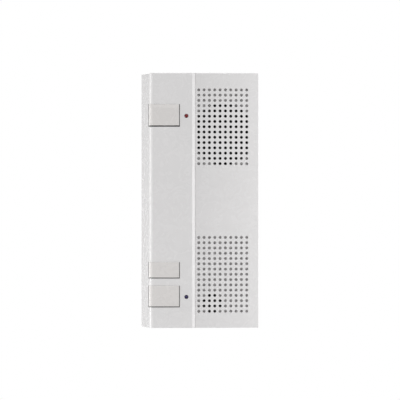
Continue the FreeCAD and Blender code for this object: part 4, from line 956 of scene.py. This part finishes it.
CHIP_COLUMNS = 3
CHIP_ROWS = 7
CHIP_PITCH_X = 5.2
CHIP_PITCH_Z = 6.2
SIDE_ROWS = 12
SIDE_PITCH = 13.4
RESISTOR_SHARE = 0.6            # of the small chips


def chip_part(length, width, height, end):
    """One chip resistor or capacitor lying on the board's front: body between two bright end caps."""
    back = BOARD_LOW.y
    body = bevelled_block((-length / 2 + end * 0.5, back - height * 0.92, -width / 2 * 0.94),
                          (length / 2 - end * 0.5, back, width / 2 * 0.94), 0.03 * MM, 1)
    caps = []
    for side in (-1, 1):
        low_x = min(side * length / 2, side * (length / 2 - end))
        caps.append(bevelled_block((low_x, back - height, -width / 2), (low_x + end, back, width / 2),
                                   0.06 * MM, 1))
    return body, caps


def board_spots():
    """Places for small chips: three columns at the lower right, and one on each side of the keys."""
    spots = []
    for row in range(CHIP_ROWS):
        for column in range(CHIP_COLUMNS):
            x = BOARD_HIGH.x - (6 + CHIP_PITCH_X * column) * MM
            z = -44 * MM - CHIP_PITCH_Z * MM * row
            spots.append((x, z))
    for row in range(SIDE_ROWS):
        x = BOARD_LOW.x + (1.9 if row % 2 else 24.5) * MM
        z = BOARD_HIGH.z - (8 + SIDE_PITCH * row) * MM
        spots.append((x, z))
    return spots


class SIREN_OT_board_parts(bpy.types.Operator):
    """Chip resistors and ceramic capacitors on the front of the board"""

    bl_idname = "siren.board_parts"
    bl_label = "Small board parts"

    def execute(self, context):
        sizes = context.scene.siren_sizes
        order = random.Random(sizes.seed)
        kinds = {
            "chip_resistors": (sizes.resistor_length, 1.25 * MM, 0.5 * MM, 0.35 * MM, "black_plastic"),
            "chip_capacitors": (sizes.resistor_length * 0.9, 1.3 * MM, 0.9 * MM, 0.4 * MM, "relay_case"),
        }
        spots = board_spots()
        order.shuffle(spots)
        share = int(len(spots) * RESISTOR_SHARE)
        for (name, (length, width, height, end, slot)), places in zip(
                kinds.items(), (spots[:share], spots[share:])):
            body, caps = chip_part(length, width, height, end)
            caps = join_all(caps)
            bodies = []
            ends = []
            for x, z in places:
                bodies.append(copy_to(body, (x, 0, z)))
                ends.append(copy_to(caps, (x, 0, z)))
            bpy.data.objects.remove(body)
            bpy.data.objects.remove(caps)
            whole = settle(join_all(bodies))
            hand_over(whole, name, "front_unit", slot)
            tips = settle(join_all(ends))
            hand_over(tips, name + "_ends", "front_unit", "nickel_brass")
        return {"FINISHED"}


def joint_places():
    """Where leads come through the board, as x, z and size.

    They belong to the lamps, relay, switches, inductor, sounder, header and capacitors."""
    places = []
    for node in ("red_lamp", "blue_lamp"):
        middle = centre_of(node)
        places += [(middle.x + side * LEAD_SPAN, middle.z, 0.72) for side in (-1, 1)]
    for node, inset_x, inset_z in (("relay", 1.6, 1.4), ("upper_switch_body", 0.8, 0.6),
                                   ("middle_switch_body", 0.8, 0.6), ("lower_switch_body", 0.8, 0.6),
                                   ("power_inductor", 1.6, 5.0), ("piezo_sounder", 3.2, 6.4)):
        low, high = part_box(node)
        for x in (low.x + inset_x * MM, high.x - inset_x * MM):
            for z in sorted({round(low.z + inset_z * MM, 6), round(high.z - inset_z * MM, 6)}):
                places.append((x, z, 1.0))
    low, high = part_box("board_header")
    for x in (low.x + 2.4 * MM, high.x - 2.4 * MM):
        places.append((x, low.z + 2.0 * MM, 1.0))
    low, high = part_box("electrolytic_capacitors")
    middle = centre_of("electrolytic_capacitors")
    for x in (low.x + 4 * MM, high.x - 4 * MM):
        places += [(x, middle.z + side * 1.75 * MM, 1.0) for side in (-1, 1)]
    return places


class SIREN_OT_solder_joints(bpy.types.Operator):
    """Solder joints where leads come through to the back of the board"""

    bl_idname = "siren.solder_joints"
    bl_label = "Solder joints"

    def execute(self, context):
        radius = context.scene.siren_sizes.solder_joint
        back = BOARD_HIGH.y
        profile = [(TINY, back + 0.85 * MM), (0.22 * MM, back + 0.84 * MM), (0.27 * MM, back + 0.72 * MM),
                   (0.34 * MM, back + 0.50 * MM), (0.50 * MM, back + 0.28 * MM),
                   (radius * 0.85, back + 0.12 * MM), (radius, back + 0.05 * MM),
                   (radius * 1.02, back - 0.02 * MM), (TINY, back - 0.02 * MM)]
        pattern = lathe(profile, 0, 0, 14, closed=False)
        joints = []
        for x, z, grow in joint_places():
            joint = copy_to(pattern, (x, back * (1 - grow), z))
            joint.scale = (grow, grow, grow)
            joints.append(joint)
        bpy.data.objects.remove(pattern)
        joined = settle(join_all(joints), 50)
        hand_over(joined, "solder_joints", "front_unit", "zinc_steel")
        return {"FINISHED"}


class SIREN_OT_label(bpy.types.Operator):
    """Blank satin label with rounded corners on the wall plate"""

    bl_idname = "siren.label"
    bl_label = "Label"

    def execute(self, context):
        low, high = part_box("rating_label")
        middle = (low + high) / 2
        deselect_all()
        bpy.ops.mesh.primitive_plane_add(size=1.0, location=(middle.x, high.y, middle.z),
                                         rotation=(math.pi / 2, 0, 0))
        film = bpy.context.object
        bpy.ops.object.transform_apply(location=True, rotation=True, scale=True)
        bpy.ops.object.mode_set(mode="EDIT")
        bpy.ops.mesh.select_all(action="SELECT")
        bpy.ops.transform.resize(value=(high.x - low.x, 1, high.z - low.z),
                                 center_override=(middle.x, high.y, middle.z))
        bpy.ops.mesh.bevel(offset=1.5 * MM, segments=6, affect="VERTICES")
        bpy.ops.mesh.select_all(action="SELECT")
        bpy.ops.mesh.extrude_region_move(TRANSFORM_OT_translate={"value": (0, low.y - high.y, 0)})
        bpy.ops.mesh.select_all(action="SELECT")
        bpy.ops.mesh.normals_make_consistent(inside=False)
        bpy.ops.object.mode_set(mode="OBJECT")
        settle(film, 30)
        hand_over(film, "label_film", "base", "label_film", ("rating_label",))
        return {"FINISHED"}


class SIREN_OT_finishes(bpy.types.Operator):
    """Gives every part of the frame its finish"""

    bl_idname = "siren.finishes"
    bl_label = "Finishes"

    def execute(self, context):
        for name, part in NODES.items():
            finish = finish_for(SLOT_OF[name], name)
            if not part.data.materials:
                part.data.materials.append(finish)
            for place in part.material_slots:
                place.material = finish
        return {"FINISHED"}


# Stage

def soft_light(name, place, target, size, power):
    """A rectangular light aimed at the target, which the camera doesn't see."""
    lamp = bpy.data.lights.new(name, "AREA")
    lamp.shape = "RECTANGLE"
    lamp.size, lamp.size_y = size
    lamp.energy = power
    holder = bpy.data.objects.new(name, lamp)
    bpy.context.scene.collection.objects.link(holder)
    holder.location = place
    holder.rotation_euler = (Vector(target) - Vector(place)).to_track_quat("-Z", "Y").to_euler()
    holder.visible_camera = False


class SIREN_OT_stage(bpy.types.Operator):
    """Camera in front of the siren, soft lights, white surroundings and a pale floor"""

    bl_idname = "siren.stage"
    bl_label = "Stage"

    def execute(self, context):
        stage = context.scene.siren_stage
        middle = (CAD_BOX[0] + CAD_BOX[1]) / 2
        self.camera(context, stage, middle)
        self.surroundings(context, stage)
        self.lights(stage, middle)
        self.floor(stage)
        context.scene.view_settings.view_transform = "Standard"
        return {"FINISHED"}

    def camera(self, context, stage, middle):
        eye = bpy.data.cameras.new("camera")
        eye.sensor_width = 36.0
        face = CAD_BOX[0].y + 2.0 * MM
        eye.lens = eye.sensor_width * (stage.distance + face) / stage.picture_width
        eye.clip_end = 20.0
        holder = bpy.data.objects.new("camera", eye)
        context.scene.collection.objects.link(holder)
        holder.location = (middle.x + 0.2 * MM, -stage.distance, middle.z + 0.3 * MM)
        holder.rotation_euler = (math.pi / 2, 0, 0)
        context.scene.camera = holder

    def surroundings(self, context, stage):
        world = bpy.data.worlds.new("studio")
        world.use_nodes = True
        tree = world.node_tree
        tree.nodes.clear()
        out = add_node(tree, "ShaderNodeOutputWorld")
        ambient = add_node(tree, "ShaderNodeBackground")
        ambient.inputs["Strength"].default_value = stage.ambient
        ambient.inputs["Color"].default_value = (0.98, 0.99, 1.0, 1.0)
        white = add_node(tree, "ShaderNodeBackground")
        white.inputs["Color"].default_value = (1.0, 1.0, 1.0, 1.0)
        rays = add_node(tree, "ShaderNodeLightPath")
        either = add_node(tree, "ShaderNodeMixShader")
        wire(tree, rays.outputs["Is Camera Ray"], either.inputs[0])
        wire(tree, ambient.outputs[0], either.inputs[1])
        wire(tree, white.outputs[0], either.inputs[2])
        wire(tree, either.outputs[0], out.inputs["Surface"])
        context.scene.world = world

    def lights(self, stage, middle):
        soft_light("top_light", (0.0, -0.8, 1.5), middle, (1.0, 0.6), stage.top_power)
        soft_light("left_light", (-1.5, -0.05, 0.0), middle, (0.45, 1.1), stage.left_power)
        soft_light("right_light", (0.28, -0.04, 0.0), middle, (0.06, 0.3), stage.right_power)
        soft_light("low_left_light", (-0.38, -0.08, -0.14), middle, (0.12, 0.1), stage.low_left_power)
        soft_light("rear_light", (-0.7, 1.5, 0.9), middle, (1.2, 1.2), stage.rear_power)

    def floor(self, stage):
        bpy.ops.mesh.primitive_circle_add(vertices=96, radius=0.7, fill_type="NGON",
                                          location=(0, 0, CAD_BOX[0].z - stage.floor_drop))
        disc = bpy.context.object
        disc.name = "floor"
        finish, _, shader = start_material("pale_floor")
        shader.inputs["Base Color"].default_value = (0.86, 0.86, 0.86, 1.0)
        shader.inputs["Roughness"].default_value = 0.7
        disc.data.materials.append(finish)


class SIREN_PT_panel(bpy.types.Panel):
    """Settings and steps of the siren"""

    bl_idname = "SIREN_PT_panel"
    bl_label = "Wall alarm siren"
    bl_space_type = "VIEW_3D"
    bl_region_type = "UI"
    bl_category = "Siren"

    def draw(self, context):
        column = self.layout.column()
        for settings in (context.scene.siren_colours, context.scene.siren_sizes, context.scene.siren_stage):
            for name in settings.__annotations__:
                column.prop(settings, name)
        for step in STEPS:
            column.operator(step.bl_idname)


STEPS = (
    SIREN_OT_finishes,
    SIREN_OT_lamps,
    SIREN_OT_speaker_cone,
    SIREN_OT_speaker_soft_parts,
    SIREN_OT_speaker_leads,
    SIREN_OT_board_parts,
    SIREN_OT_solder_joints,
    SIREN_OT_label,
    SIREN_OT_stage,
)
CLASSES = (SirenColours, SirenSizes, SirenStage, *STEPS, SIREN_PT_panel)


def register():
    for kind in CLASSES:
        bpy.utils.register_class(kind)
    bpy.types.Scene.siren_colours = bpy.props.PointerProperty(type=SirenColours)
    bpy.types.Scene.siren_sizes = bpy.props.PointerProperty(type=SirenSizes)
    bpy.types.Scene.siren_stage = bpy.props.PointerProperty(type=SirenStage)


def unregister():
    del bpy.types.Scene.siren_stage
    del bpy.types.Scene.siren_sizes
    del bpy.types.Scene.siren_colours
    for kind in reversed(CLASSES):
        bpy.utils.unregister_class(kind)


def main():
    register()
    for step in STEPS:
        group_name, step_name = step.bl_idname.split(".")
        getattr(getattr(bpy.ops, group_name), step_name)()


if __name__ == "__main__":
    main()
